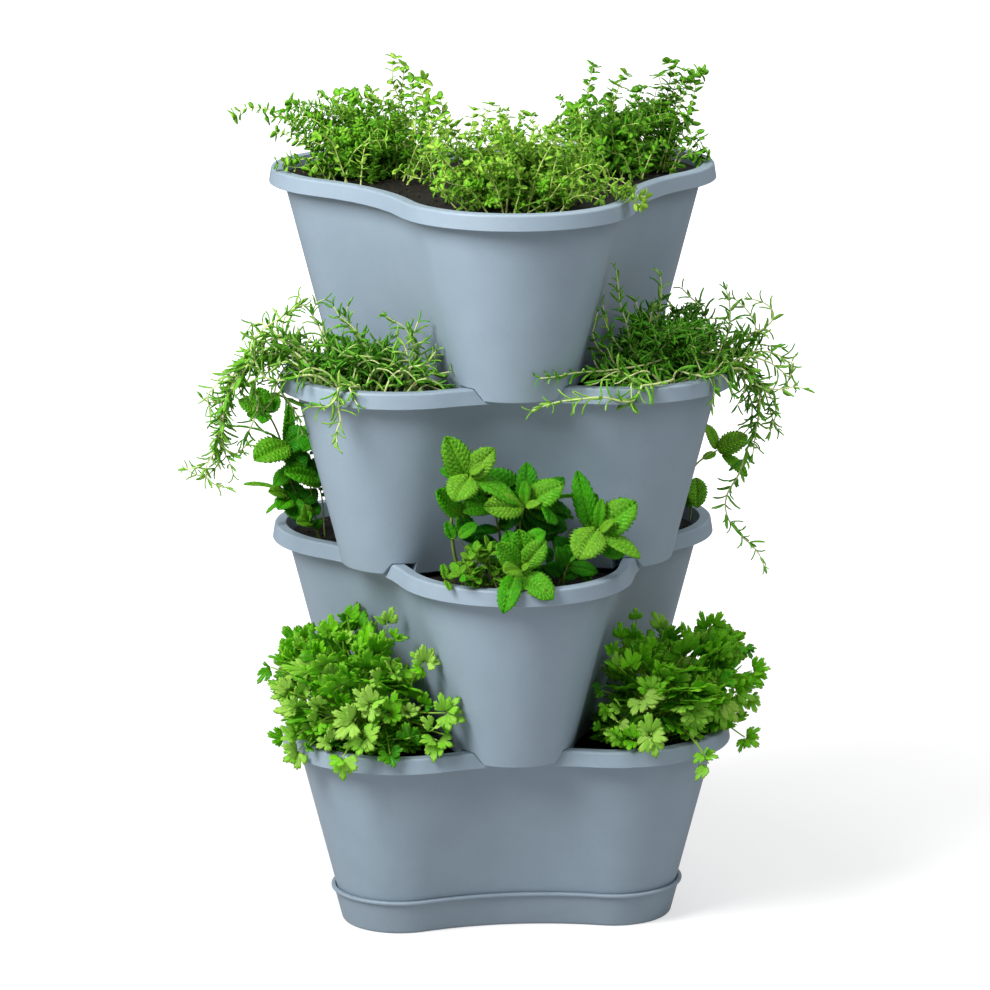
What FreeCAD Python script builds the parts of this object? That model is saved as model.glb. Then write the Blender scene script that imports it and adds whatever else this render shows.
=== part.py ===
import FreeCAD, Part
import math
import os

# Stacking herb planter: four identical three-lobed pots, each turned half a
# turn on the one below, on a drip saucer. Millimetres, +Z up, origin at the
# centre of the saucer's underside. The front of the stack faces -Y.

# ---------------------------------------------------------------- dimensions
LOBE_D = 103.2          # axis of the stack to the centre of a lobe
LOBE_R = 97.0           # lobe radius of the rim, at the skirt's lower edge
WAIST_Q = 191.5         # radius of the hollow side between two lobes
SKIRT_H = 12.8          # height of the rim's skirt
SKIRT_FLARE = 2.0       # how far the skirt leans in from its foot to its top
SKIN = 2.0              # moulded wall thickness
WALL_IN = 9.4           # wall's outer face, in from the skirt's foot, at rim level
DRAFT = 0.2535          # how fast the wall leans in, mm per mm of depth
POT_H = 160.9           # pot height
NEST = 9.5              # how deep a pot sits in the rim notches below it
FLOOR_T = 2.2           # pot floor thickness
LIP_ROUND = 2.2         # outer rounding of the rim's top
LIP_ROUND_IN = 0.9      # inner rounding of the rim's top
HEEL_R = 1.6            # rounding of the pot's bottom edge

NOTCH_HALF_LOW = 29.3   # half width of a rim notch at its floor
NOTCH_HALF_TOP = 36.7   # half width of a rim notch at the rim's top
NOTCH_R = 1.2           # rounding in the notch's lower corners
NOTCH_LIP_R = 3.0       # rounding where the notch meets the rim's top
KEY_GAP = 0.8           # side gap between a foot and its notch
SHELF_GAP = 0.8         # gap between the raised shelf beside a foot and the rim
SHELF_RHO = 119.0       # where the raised shelf starts, out from the axis

DRAIN_R = 2.5           # drain holes in the pot floors
DRAIN_RHO = (58.0, 94.0)

SAUCER_FLOOR = 2.0      # saucer floor thickness
RIB_H = 1.2             # ribs that the lowest pot stands on
RIB_W = 3.0
SAUCER_RING_R = 44.0    # middle radius of the round rib
SAUCER_GAP = 1.0        # gap between the lowest pot and the saucer wall
SAUCER_SKIN = 1.6
BEAD_OUT = 2.4          # how far the saucer's bead stands out
BEAD_T = 2.8
SAUCER_H = 30.0
SAUCER_HEEL = 3.0

SOIL_DROP = 12.0        # potting mix below the rim
SOIL_GAP = 0.3          # mix to pot wall

PITCH = POT_H - NEST                     # from one pot to the next
POT_Z0 = SAUCER_FLOOR + RIB_H            # underside of the lowest pot
S = LOBE_R + WAIST_Q
WAIST_X = LOBE_D / 2 + math.sqrt(S * S - 0.75 * LOBE_D * LOBE_D)
LOBE_HALF = math.atan2(WAIST_X * math.sin(math.pi / 3), WAIST_X * 0.5 - LOBE_D)
KEY_SLOPE = (NOTCH_HALF_TOP - NOTCH_HALF_LOW) / NEST

V = FreeCAD.Vector
UP = V(0, 0, 1)


# ------------------------------------------------------------------- helpers
def polar(r, deg, z=0.0):
    a = math.radians(deg)
    return V(r * math.cos(a), r * math.sin(a), z)


def lobe_angles(first):
    return [first + 120 * i for i in range(3)]


def rounded_wire(points, radii, place):
    """Closed wire through 2-D points, each corner rounded by its radius."""
    n = len(points)
    starts, ends, mids = [], [], []
    for i in range(n):
        p, r = points[i], radii[i]
        a, b = points[i - 1], points[(i + 1) % n]
        if r <= 0:
            starts.append(p)
            ends.append(p)
            mids.append(None)
            continue
        ux, uy = a[0] - p[0], a[1] - p[1]
        vx, vy = b[0] - p[0], b[1] - p[1]
        lu, lv = math.hypot(ux, uy), math.hypot(vx, vy)
        ux, uy, vx, vy = ux / lu, uy / lu, vx / lv, vy / lv
        half = math.acos(max(-1.0, min(1.0, ux * vx + uy * vy))) / 2
        t = r / math.tan(half)
        c = r / math.sin(half)
        bx, by = ux + vx, uy + vy
        lb = math.hypot(bx, by)
        bx, by = bx / lb, by / lb
        starts.append((p[0] + ux * t, p[1] + uy * t))
        ends.append((p[0] + vx * t, p[1] + vy * t))
        mids.append((p[0] + bx * (c - r), p[1] + by * (c - r)))
    edges = []
    for i in range(n):
        if mids[i] is not None:
            edges.append(Part.Arc(place(*starts[i]), place(*mids[i]), place(*ends[i])).toShape())
        q, w = ends[i], starts[(i + 1) % n]
        if math.hypot(q[0] - w[0], q[1] - w[1]) > 1e-7:
            edges.append(Part.LineSegment(place(*q), place(*w)).toShape())
    return Part.Wire(edges)


def trefoil_wire(off, z):
    """The planter's three-lobed outline, off mm inside the rim's outline."""
    edges = []
    for a in lobe_angles(90):
        c = polar(LOBE_D, a, z)
        r = LOBE_R - off
        h = math.degrees(LOBE_HALF)
        p = [c + polar(r, a + s) for s in (-h, 0, h)]
        edges.append(Part.Arc(p[0], p[1], p[2]).toShape())
        k = polar(WAIST_X, a + 60, z)
        c2 = polar(LOBE_D, a + 120, z)
        q = WAIST_Q + off
        s1 = k + (c - k).normalize() * q
        s2 = k + (c2 - k).normalize() * q
        m = k + polar(q, a + 60 + 180)
        edges.append(Part.Arc(s1, m, s2).toShape())
    return Part.Wire(edges)


def ring(points, radii):
    """Sweeps a profile of (offset, z) corners right round the trefoil."""
    solids = []
    for a in lobe_angles(90):
        c = polar(LOBE_D, a)
        k = polar(WAIST_X, a + 60)
        c2 = polar(LOBE_D, a + 120)
        u = (k - c).normalize()

        def place(off, z):
            return c + u * (LOBE_R - off) + V(0, 0, z)

        face = Part.Face(rounded_wire(points, radii, place))
        solids.append(face.revolve(c, UP, -2 * math.degrees(LOBE_HALF)))
        a1 = math.atan2(c.y - k.y, c.x - k.x)
        a2 = math.atan2(c2.y - k.y, c2.x - k.x)
        turn = math.degrees((a2 - a1 + math.pi) % (2 * math.pi) - math.pi)
        solids.append(face.revolve(k, UP, turn))
    body = solids[0].multiFuse(solids[1:])
    return body.removeSplitter()


def slab(off, z0, z1):
    """Solid trefoil plate, off mm inside the rim's outline."""
    return Part.Face(trefoil_wire(off, z0)).extrude(V(0, 0, z1 - z0))


def wall_off(z):
    """Wall's outer face at height z above the pot's underside."""
    return WALL_IN + DRAFT * (POT_H - z)


SKIN_H = SKIN * math.sqrt(1 + DRAFT * DRAFT)     # skin measured level


def radial_prism(points, radii, deg, rho0, rho1):
    """2-D shape of (across, z) corners, run outward along a direction."""
    a = math.radians(deg)
    er, et = V(math.cos(a), math.sin(a), 0), V(-math.sin(a), math.cos(a), 0)
    wire = rounded_wire(points, radii, lambda x, z: er * rho0 + et * x + V(0, 0, z))
    return Part.Face(wire).extrude(er * (rho1 - rho0))


def key_half(z, grow):
    """Half width of a pot's keyed foot at height z, grow mm narrower."""
    return NOTCH_HALF_LOW - KEY_GAP + KEY_SLOPE * z - grow * math.sqrt(1 + KEY_SLOPE ** 2)


def shelf_cuts(deg, grow):
    """The two spaces beside a keyed foot that clear the rim below."""
    top = NEST + SHELF_GAP + grow
    out = []
    for s in (1, -1):
        if grow > 0:
            pts = [(s * key_half(-3, grow), -3.0), (s * key_half(top, grow), top),
                   (s * 75.0, top), (s * 75.0, -3.0)]
            rad = [0, 1.0, 0, 0]
        else:
            low = key_half(0, 0)
            pts = [(s * (low - 4.0), -3.0), (s * (low - 4.0), 0.0), (s * low, 0.0),
                   (s * key_half(top, 0), top), (s * 75.0, top), (s * 75.0, -3.0)]
            rad = [0, 0, 1.6, 1.0, 0, 0]
        out.append(radial_prism(pts, rad, deg, SHELF_RHO - grow, 168.0))
    return out


def notch(deg, grow):
    """The seat cut in the rim's hollow side for the foot of the pot above."""
    zt, zb = POT_H, POT_H - NEST
    g = grow * math.sqrt(1 + KEY_SLOPE ** 2)
    lo = NOTCH_HALF_LOW + g - KEY_SLOPE * grow
    if grow > 0:
        hi = NOTCH_HALF_LOW + g + KEY_SLOPE * (NEST + 4)
        pts = [(-lo, zb - grow), (lo, zb - grow), (hi, zt + 4), (-hi, zt + 4)]
        rad = [NOTCH_R + grow, NOTCH_R + grow, 0, 0]
    else:
        hi, far = NOTCH_HALF_TOP, NOTCH_HALF_TOP + 8
        pts = [(-lo, zb), (lo, zb), (hi, zt), (far, zt), (far, zt + 4),
               (-far, zt + 4), (-far, zt), (-hi, zt)]
        rad = [NOTCH_R, NOTCH_R, NOTCH_LIP_R, 0, 0, 0, 0, NOTCH_LIP_R]
    return radial_prism(pts, rad, deg, 112.0, 150.0)


# ----------------------------------------------------------------------- pot
def make_pot(notched):
    """One pot with lobes at 90, 210 and 330 degrees, underside at z = 0.
    The top pot of the stack keeps its rim whole."""
    t = POT_H
    profile = [
        (0.0, t - SKIRT_H),
        (SKIRT_FLARE, t),
        (WALL_IN + SKIN_H, t),
        (wall_off(FLOOR_T) + SKIN_H, FLOOR_T),
        (60.0, FLOOR_T),
        (60.0, 0.0),
        (wall_off(0), 0.0),
        (wall_off(t - SKIN), t - SKIN),
        (SKIRT_FLARE * (SKIRT_H - SKIN) / SKIRT_H + SKIN, t - SKIN),
        (SKIN, t - SKIRT_H),
    ]
    radii = [0.5, LIP_ROUND, LIP_ROUND_IN, 2.0, 0, 0, HEEL_R, 1.0, 0.6, 0]
    pot = ring(profile, radii).fuse(slab(60.0, 0.0, FLOOR_T)).removeSplitter()

    # raised shelves beside the keyed foot of each lobe
    low = NEST + SHELF_GAP + SKIN + 2.0
    envelope = ring([(wall_off(0), 0.0), (wall_off(low), low), (62.0, low), (62.0, 0.0)],
                    [HEEL_R, 0, 0, 0])
    for a in lobe_angles(90):
        cuts = shelf_cuts(a, 0.0)
        grown = shelf_cuts(a, SKIN)
        for cut, big in zip(cuts, grown):
            liner = big.cut(cut).common(envelope)
            pot = pot.cut(cut).fuse(liner)
    # rim notches on the hollow sides
    if notched:
        rim = ring([(0.0, t - SKIRT_H), (SKIRT_FLARE, t), (WALL_IN + SKIN_H, t),
                    (WALL_IN + SKIN_H + DRAFT * SKIRT_H, t - SKIRT_H)],
                   [0.5, LIP_ROUND, LIP_ROUND_IN, 0])
        for a in lobe_angles(150):
            cut = notch(a, 0.0)
            liner = notch(a, SKIN).cut(cut).common(rim)
            pot = pot.cut(cut).fuse(liner)
    # drain holes: two in each lobe and one in the middle
    holes = [Part.makeCylinder(DRAIN_R, FLOOR_T + 4, V(0, 0, -2), UP)]
    for a in lobe_angles(90):
        for rho in DRAIN_RHO:
            holes.append(Part.makeCylinder(DRAIN_R, FLOOR_T + 4, polar(rho, a, -2), UP))
    for h in holes:
        pot = pot.cut(h)
    return pot.removeSplitter()


def make_soil():
    """Potting mix that fills a pot to just under its rim."""
    top = POT_H - SOIL_DROP
    off = SKIN_H + SOIL_GAP
    body = ring([(wall_off(FLOOR_T) + off, FLOOR_T), (wall_off(top) + off, top),
                 (66.0, top), (66.0, FLOOR_T)], [2.4, 0, 0, 0])
    body = body.fuse(slab(66.0, FLOOR_T, top)).removeSplitter()
    for a in lobe_angles(90):
        for big in shelf_cuts(a, SKIN + SOIL_GAP):
            body = body.cut(big)
    return body.removeSplitter()


def make_saucer():
    """Drip saucer with a bead round its rim and low ribs on its floor."""
    z_rim = POT_Z0 + POT_H

    def skin(z):
        return WALL_IN + DRAFT * (z_rim - z)

    h = SAUCER_H
    profile = [
        (skin(0) - SAUCER_GAP - SAUCER_SKIN, 0.0),
        (skin(h - BEAD_T) - SAUCER_GAP - SAUCER_SKIN, h - BEAD_T),
        (skin(h - BEAD_T) - SAUCER_GAP - SAUCER_SKIN - BEAD_OUT, h - BEAD_T),
        (skin(h - BEAD_T) - SAUCER_GAP - SAUCER_SKIN - BEAD_OUT, h),
        (skin(h) - SAUCER_GAP, h),
        (skin(SAUCER_FLOOR) - SAUCER_GAP, SAUCER_FLOOR),
        (64.0, SAUCER_FLOOR),
        (64.0, 0.0),
    ]
    radii = [SAUCER_HEEL, 0.8, BEAD_T * 0.42, BEAD_T * 0.42, 0.5, 0.9, 0, 0]
    body = ring(profile, radii).fuse(slab(64.0, 0.0, SAUCER_FLOOR)).removeSplitter()
    z = SAUCER_FLOOR
    ribs = [Part.makeCylinder(SAUCER_RING_R + RIB_W / 2, RIB_H, V(0, 0, z), UP).cut(
        Part.makeCylinder(SAUCER_RING_R - RIB_W / 2, RIB_H, V(0, 0, z), UP))]
    for a in lobe_angles(90):
        box = Part.makeBox(82.0, RIB_W, RIB_H, V(56.0, -RIB_W / 2, z))
        box.rotate(V(0, 0, 0), UP, a)
        ribs.append(box)
        for s in (-1, 1):
            box = Part.makeBox(40.0, RIB_W, RIB_H, V(94.0, s * 22.0 - RIB_W / 2, z))
            box.rotate(V(0, 0, 0), UP, a)
            ribs.append(box)
    for r in ribs:
        body = body.fuse(r)
    return body.removeSplitter()


# -------------------------------------------------------------------- plants
def ellipse_wire(cx, cy, z, along, across, deg):
    big, small, turn = along, across, deg
    if across > along:
        big, small, turn = across, along, deg + 90
    a = math.radians(turn)
    e = Part.Ellipse(V(cx, cy, z), big, small)
    w = Part.Wire([e.toShape()])
    w.rotate(V(cx, cy, z), UP, turn)
    return w


def crown(z0, deg, sections):
    """A plant's outer shape. Each section is (height over the rim, out from
    the stack's axis, across, half depth, half width), along a lobe."""
    a = math.radians(deg)
    er, et = V(math.cos(a), math.sin(a), 0), V(-math.sin(a), math.cos(a), 0)
    wires = []
    for (dz, rho, lat, along, across) in sections:
        p = er * rho + et * lat
        wires.append(ellipse_wire(p.x, p.y, z0 + dz, along, across, deg))
    return Part.makeLoft(wires, True, False)


def bough(points):
    """A tapered arching branch through (x, y, z, radius) points."""
    wires = []
    n = len(points)
    for i, (x, y, z, r) in enumerate(points):
        a = points[max(i - 1, 0)]
        b = points[min(i + 1, n - 1)]
        t = V(b[0] - a[0], b[1] - a[1], b[2] - a[2]).normalize()
        circle = Part.Circle(V(x, y, z), t, r)
        wires.append(Part.Wire([circle.toShape()]))
    return Part.makeLoft(wires, True, False)


Z_RIM = [POT_Z0 + POT_H + PITCH * i for i in range(4)]
SOIL = -SOIL_DROP

THYME = {
    "left": (150, [(SOIL, 106, 4, 46, 50), (6, 118, 6, 60, 66), (36, 128, 4, 70, 74),
                   (62, 120, 0, 58, 60), (84, 104, -8, 30, 30), (95, 96, -14, 10, 10)]),
    "front": (-90, [(SOIL, 106, 0, 48, 52), (8, 112, 3, 66, 78), (34, 108, 5, 68, 84),
                    (58, 100, 2, 52, 60), (76, 94, 0, 22, 26)]),
    "right": (30, [(SOIL, 106, 0, 44, 46), (6, 116, 0, 56, 58), (36, 124, 2, 62, 62),
                   (64, 122, 4, 52, 52), (81, 116, 6, 22, 24)]),
}
ROSEMARY = {
    "left": (-150, [(SOIL, 137, 0, 26, 38), (8, 147, 0, 44, 58), (34, 162, 2, 48, 60),
                    (58, 180, 2, 38, 48), (70, 186, 2, 14, 20)]),
    "right": (-30, [(SOIL, 137, 0, 26, 38), (8, 145, 0, 44, 60), (40, 156, 0, 50, 60),
                    (68, 157, -8, 42, 48), (84, 152, -12, 14, 18)]),
    "back": (90, [(SOIL, 137, 0, 26, 38), (8, 147, 0, 44, 58), (34, 160, 0, 48, 58),
                  (58, 170, 0, 36, 46), (72, 172, 0, 14, 18)]),
}
ROSEMARY_BOUGH = {
    "left": [(-158, -84, 44, 26), (-198, -82, 44, 26), (-232, -78, 14, 22),
             (-240, -74, -34, 20), (-236, -72, -98, 10)],
    "right": [(158, -84, 52, 26), (198, -80, 52, 26), (224, -76, 14, 20),
              (224, -74, -44, 18), (215, -72, -116, 14), (212, -72, -168, 6)],
    "back": [(4, 168, 40, 24), (8, 200, 40, 24), (10, 226, 12, 18), (8, 230, -36, 14),
             (4, 226, -70, 8)],
}
MINT = {
    "front": (-90, [(SOIL, 137, 0, 24, 36), (10, 144, 6, 42, 64), (40, 152, 10, 44, 72),
                    (76, 158, 0, 36, 60), (104, 160, -26, 24, 30), (115, 160, -30, 9, 12)]),
    "left": (150, [(SOIL, 137, 0, 24, 36), (10, 145, 0, 40, 58), (45, 154, 2, 42, 62),
                   (80, 160, 2, 34, 48), (103, 162, 2, 12, 16)]),
    "right": (30, [(SOIL, 137, 0, 24, 36), (10, 145, 0, 40, 56), (45, 156, 0, 42, 58),
                   (78, 162, 0, 32, 44), (96, 164, 0, 12, 16)]),
}
PARSLEY = {
    "left": (-150, [(SOIL, 137, 0, 26, 38), (6, 145, 0, 44, 62), (34, 156, 0, 52, 68),
                    (74, 158, 0, 44, 58), (102, 154, 0, 26, 34), (115, 152, 0, 9, 12)]),
    "right": (-30, [(SOIL, 137, 0, 26, 38), (6, 144, 0, 44, 62), (34, 156, 2, 52, 68),
                    (70, 158, 4, 44, 58), (92, 154, 4, 26, 36), (104, 152, 4, 9, 12)]),
    "back": (90, [(SOIL, 137, 0, 26, 38), (6, 145, 0, 42, 60), (34, 155, 0, 50, 66),
                  (70, 157, 0, 42, 56), (94, 152, 0, 25, 34), (106, 150, 0, 9, 12)]),
}


def export(name, shape):
    shape.exportStep("parts/" + name + ".step")


def main():
    os.makedirs("parts", exist_ok=True)
    for old in os.listdir("parts"):
        if old.endswith(".step"):
            os.remove(os.path.join("parts", old))
    made = {"saucer": make_saucer()}
    pot, top_pot, soil = make_pot(True), make_pot(False), make_soil()
    for i in range(4):
        # lobes of the lowest pot stand at 90, 210 and 330 degrees, and each
        # pot above is turned half a turn
        for label, base in (("planter_tier_", pot if i < 3 else top_pot),
                            ("potting_mix_", soil)):
            s = base.copy()
            s.rotate(V(0, 0, 0), UP, 180 * (i % 2))
            s.translate(V(0, 0, POT_Z0 + PITCH * i))
            made[label + str(i + 1)] = s
    for side, (deg, sections) in PARSLEY.items():
        made["parsley_" + side] = crown(Z_RIM[0], deg, sections)
    for side, (deg, sections) in MINT.items():
        made["mint_" + side] = crown(Z_RIM[1], deg, sections)
    for side, (deg, sections) in ROSEMARY.items():
        body = crown(Z_RIM[2], deg, sections)
        arm = bough([(x, y, Z_RIM[2] + z, r) for (x, y, z, r) in ROSEMARY_BOUGH[side]])
        made["rosemary_" + side] = body.fuse(arm).removeSplitter()
    for side, (deg, sections) in THYME.items():
        made["thyme_" + side] = crown(Z_RIM[3], deg, sections)
    for name, shape in made.items():
        solids = shape.Solids
        if len(solids) != 1 or not shape.isValid():
            print("CHECK", name, "solids", len(solids), "valid", shape.isValid())
        one = solids[0]
        print(name, "faces", len(one.Faces), "volume", round(one.Volume / 1000.0, 1), "cm3")
        export(name, one)


main()
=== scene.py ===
import math

import bpy
import numpy as np
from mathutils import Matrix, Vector


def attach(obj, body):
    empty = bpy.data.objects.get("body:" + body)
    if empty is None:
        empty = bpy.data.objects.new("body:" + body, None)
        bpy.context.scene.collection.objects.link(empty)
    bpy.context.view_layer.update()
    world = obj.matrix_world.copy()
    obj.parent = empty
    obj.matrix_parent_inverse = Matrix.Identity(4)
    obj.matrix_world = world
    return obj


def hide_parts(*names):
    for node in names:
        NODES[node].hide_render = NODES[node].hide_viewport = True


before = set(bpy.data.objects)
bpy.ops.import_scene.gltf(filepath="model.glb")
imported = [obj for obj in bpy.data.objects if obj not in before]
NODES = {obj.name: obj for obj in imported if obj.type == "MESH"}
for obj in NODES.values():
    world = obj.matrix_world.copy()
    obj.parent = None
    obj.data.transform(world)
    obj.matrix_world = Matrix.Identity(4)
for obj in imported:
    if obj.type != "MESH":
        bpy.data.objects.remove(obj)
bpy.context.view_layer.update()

# ------------------------------------------------------------------ camera
AZ, EL = math.radians(-6.37), math.radians(13.45)
DIST, FOCAL = 3.9733, 4772.0            # metres, pixels in a 990 pixel frame
BACK = np.array([math.sin(AZ) * math.cos(EL), -math.cos(AZ) * math.cos(EL), math.sin(EL)])
RIGHT = np.array([math.cos(AZ), math.sin(AZ), 0.0])
UPV = np.cross(BACK, RIGHT)
TARGET = RIGHT * -0.00429 + np.array([0, 0, 0.3471])
EYE = TARGET + BACK * DIST


def at(u, v, y):
    """Point in mm, on the line of sight through pixel (u, v) of the 990 frame, at depth y mm."""
    ray = RIGHT * ((u - 495) / FOCAL) + UPV * ((495 - v) / FOCAL) - BACK
    t = (y / 1000 - EYE[1]) / ray[1]
    return (EYE + ray * t) * 1000


cam_data = bpy.data.cameras.new("photo_camera")
cam = bpy.data.objects.new("photo_camera", cam_data)
bpy.context.scene.collection.objects.link(cam)
cam_data.sensor_width = 36.0
cam_data.lens = FOCAL / 990 * 36.0
cam_data.clip_start, cam_data.clip_end = 0.1, 50
cam.location = Vector(EYE)
cam.rotation_mode = "QUATERNION"
cam.rotation_quaternion = Vector(-BACK).to_track_quat("-Z", "Y")
bpy.context.scene.camera = cam

view = bpy.context.scene.view_settings
view.view_transform = "Standard"
view.look = "None"
view.exposure = 0.0
view.gamma = 1.0


# ------------------------------------------------------------ light and floor
def area_light(name, place, aim, size, power, colour):
    data = bpy.data.lights.new(name, "AREA")
    data.shape = "RECTANGLE"
    data.size, data.size_y = size
    data.energy = power
    data.color = colour
    o = bpy.data.objects.new(name, data)
    bpy.context.scene.collection.objects.link(o)
    o.location = place
    o.rotation_mode = "QUATERNION"
    o.rotation_quaternion = (Vector(aim) - Vector(place)).to_track_quat("-Z", "Y")
    return o


area_light("key_softbox", (-1.42, -1.0, 1.75), (0, 0, 0.52), (1.0, 1.0), 48.5, (1.0, 0.997, 0.99))
area_light("fill_softbox", (1.35, -0.95, 1.55), (0.1, 0, 0.62), (0.9, 0.9), 5.8, (0.98, 0.99, 1.0))
area_light("upper_left_card", (-0.8, -0.65, 1.25), (-0.05, -0.05, 0.56), (0.5, 0.5), 5.6, (1.0, 1.0, 1.0))
area_light("upper_right_card", (0.75, -0.55, 1.35), (0.12, 0, 0.56), (0.45, 0.45), 2.2, (0.98, 0.99, 1.0))
area_light("top_softbox", (0.3, 0.2, 2.3), (0, 0, 0.5), (1.3, 1.3), 13, (1.0, 1.0, 1.0))

world = bpy.data.worlds.new("studio")
bpy.context.scene.world = world
world.use_nodes = True
wn = world.node_tree.nodes
wn["Background"].inputs["Color"].default_value = (0.985, 0.99, 1.0, 1.0)
wn["Background"].inputs["Strength"].default_value = 0.27
# a plain white wall behind the object, which lights it no more than the rest of the room does
wall = wn.new("ShaderNodeBackground")
wall.inputs["Color"].default_value = (1.0, 1.0, 1.0, 1.0)
wall.inputs["Strength"].default_value = 1.0
seen = wn.new("ShaderNodeLightPath")
either = wn.new("ShaderNodeMixShader")
world.node_tree.links.new(seen.outputs["Is Camera Ray"], either.inputs[0])
world.node_tree.links.new(wn["Background"].outputs[0], either.inputs[1])
world.node_tree.links.new(wall.outputs[0], either.inputs[2])
world.node_tree.links.new(either.outputs[0], wn["World Output"].inputs["Surface"])


# ------------------------------------------------------------------ materials
def new_material(name):
    m = bpy.data.materials.new(name)
    m.use_nodes = True
    nt = m.node_tree
    nt.nodes.clear()
    out = nt.nodes.new("ShaderNodeOutputMaterial")
    shader = nt.nodes.new("ShaderNodeBsdfPrincipled")
    nt.links.new(shader.outputs[0], out.inputs["Surface"])
    return m, nt, shader


def node(nt, kind, **values):
    n = nt.nodes.new(kind)
    for key, value in values.items():
        if key in n.inputs:
            n.inputs[key].default_value = value
        else:
            setattr(n, key, value)
    return n


def ramp(nt, source, stops):
    n = nt.nodes.new("ShaderNodeValToRGB")
    while len(n.color_ramp.elements) < len(stops):
        n.color_ramp.elements.new(0.5)
    for e, (place, colour) in zip(n.color_ramp.elements, stops):
        e.position = place
        e.color = colour if len(colour) == 4 else (*colour, 1)
    nt.links.new(source, n.inputs["Fac"])
    return n


def mix(nt, kind, factor, a, b):
    n = nt.nodes.new("ShaderNodeMix")
    n.data_type = "RGBA"
    n.blend_type = kind
    for socket, value in (("Factor", factor), ("A", a), ("B", b)):
        s = [i for i in n.inputs if i.name == socket and i.enabled][0]
        if isinstance(value, (int, float, tuple)):
            s.default_value = value if not isinstance(value, tuple) else (*value, 1)[:4]
        else:
            nt.links.new(value, s)
    return [o for o in n.outputs if o.enabled][0]


def maths(nt, op, a, b=0.0, clamp=False):
    n = nt.nodes.new("ShaderNodeMath")
    n.operation = op
    n.use_clamp = clamp
    for i, value in enumerate((a, b)):
        if isinstance(value, (int, float)):
            n.inputs[i].default_value = value
        else:
            nt.links.new(value, n.inputs[i])
    return n.outputs[0]


def plastic(name, base, deep):
    """Satin moulded plastic: fine spark grain, soft mottle, and painted light that makes surfaces facing up paler."""
    m, nt, sh = new_material(name)
    co = nt.nodes.new("ShaderNodeTexCoord").outputs["Object"]
    mottle = node(nt, "ShaderNodeTexNoise", Scale=38.0, Detail=4.0, Roughness=0.55)
    nt.links.new(co, mottle.inputs["Vector"])
    broad = node(nt, "ShaderNodeTexNoise", Scale=7.0, Detail=2.0, Roughness=0.5)
    nt.links.new(co, broad.inputs["Vector"])
    grain = node(nt, "ShaderNodeTexNoise", Scale=950.0, Detail=2.0, Roughness=0.6)
    nt.links.new(co, grain.inputs["Vector"])
    m1 = ramp(nt, mottle.outputs["Fac"], [(0.3, deep), (0.72, base)])
    m2 = mix(nt, "MULTIPLY", 0.35, m1.outputs[0],
             ramp(nt, broad.outputs["Fac"], [(0.3, (0.86, 0.87, 0.88)), (0.7, (1, 1, 1))]).outputs[0])
    m3 = mix(nt, "MULTIPLY", 0.25, m2,
             ramp(nt, grain.outputs["Fac"], [(0.35, (0.8, 0.8, 0.8)), (0.65, (1, 1, 1))]).outputs[0])
    # painted light from above: surfaces that face up are mixed in patches towards a pale grey
    geo = nt.nodes.new("ShaderNodeNewGeometry")
    sep = nt.nodes.new("ShaderNodeSeparateXYZ")
    nt.links.new(geo.outputs["Normal"], sep.inputs[0])
    up = maths(nt, "MULTIPLY", maths(nt, "MAXIMUM", sep.outputs["Z"], 0.0), 0.10)
    painted_top_light = maths(nt, "MULTIPLY", up, mottle.outputs["Fac"], True)
    m4 = mix(nt, "MIX", painted_top_light, m3, (0.47, 0.47, 0.46))
    nt.links.new(m4, sh.inputs["Base Color"])
    rough = maths(nt, "ADD", maths(nt, "MULTIPLY", mottle.outputs["Fac"], 0.10),
                  maths(nt, "MULTIPLY", grain.outputs["Fac"], 0.10))
    nt.links.new(maths(nt, "ADD", rough, 0.36), sh.inputs["Roughness"])
    sh.inputs["Specular IOR Level"].default_value = 0.42
    bump = node(nt, "ShaderNodeBump", Strength=0.16, Distance=0.0002)
    nt.links.new(grain.outputs["Fac"], bump.inputs["Height"])
    bump2 = node(nt, "ShaderNodeBump", Strength=0.10, Distance=0.0012)
    nt.links.new(mottle.outputs["Fac"], bump2.inputs["Height"])
    nt.links.new(bump.outputs[0], bump2.inputs["Normal"])
    nt.links.new(bump2.outputs[0], sh.inputs["Normal"])
    return m


POT = plastic("pot_plastic", (0.300, 0.385, 0.465), (0.280, 0.361, 0.438))
# painted shade: the saucer gets the pots' plastic made a little darker and less blue, for the dimmer, warmer light low
# down by the floor
SHADED_SAUCER_PLASTIC = plastic("saucer_plastic_shaded", (0.285, 0.362, 0.43), (0.268, 0.342, 0.408))

for n, o in NODES.items():
    if n.startswith("planter_tier_") or n == "saucer":
        o.data.materials.clear()
        o.data.materials.append(SHADED_SAUCER_PLASTIC if n == "saucer" else POT)


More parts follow.
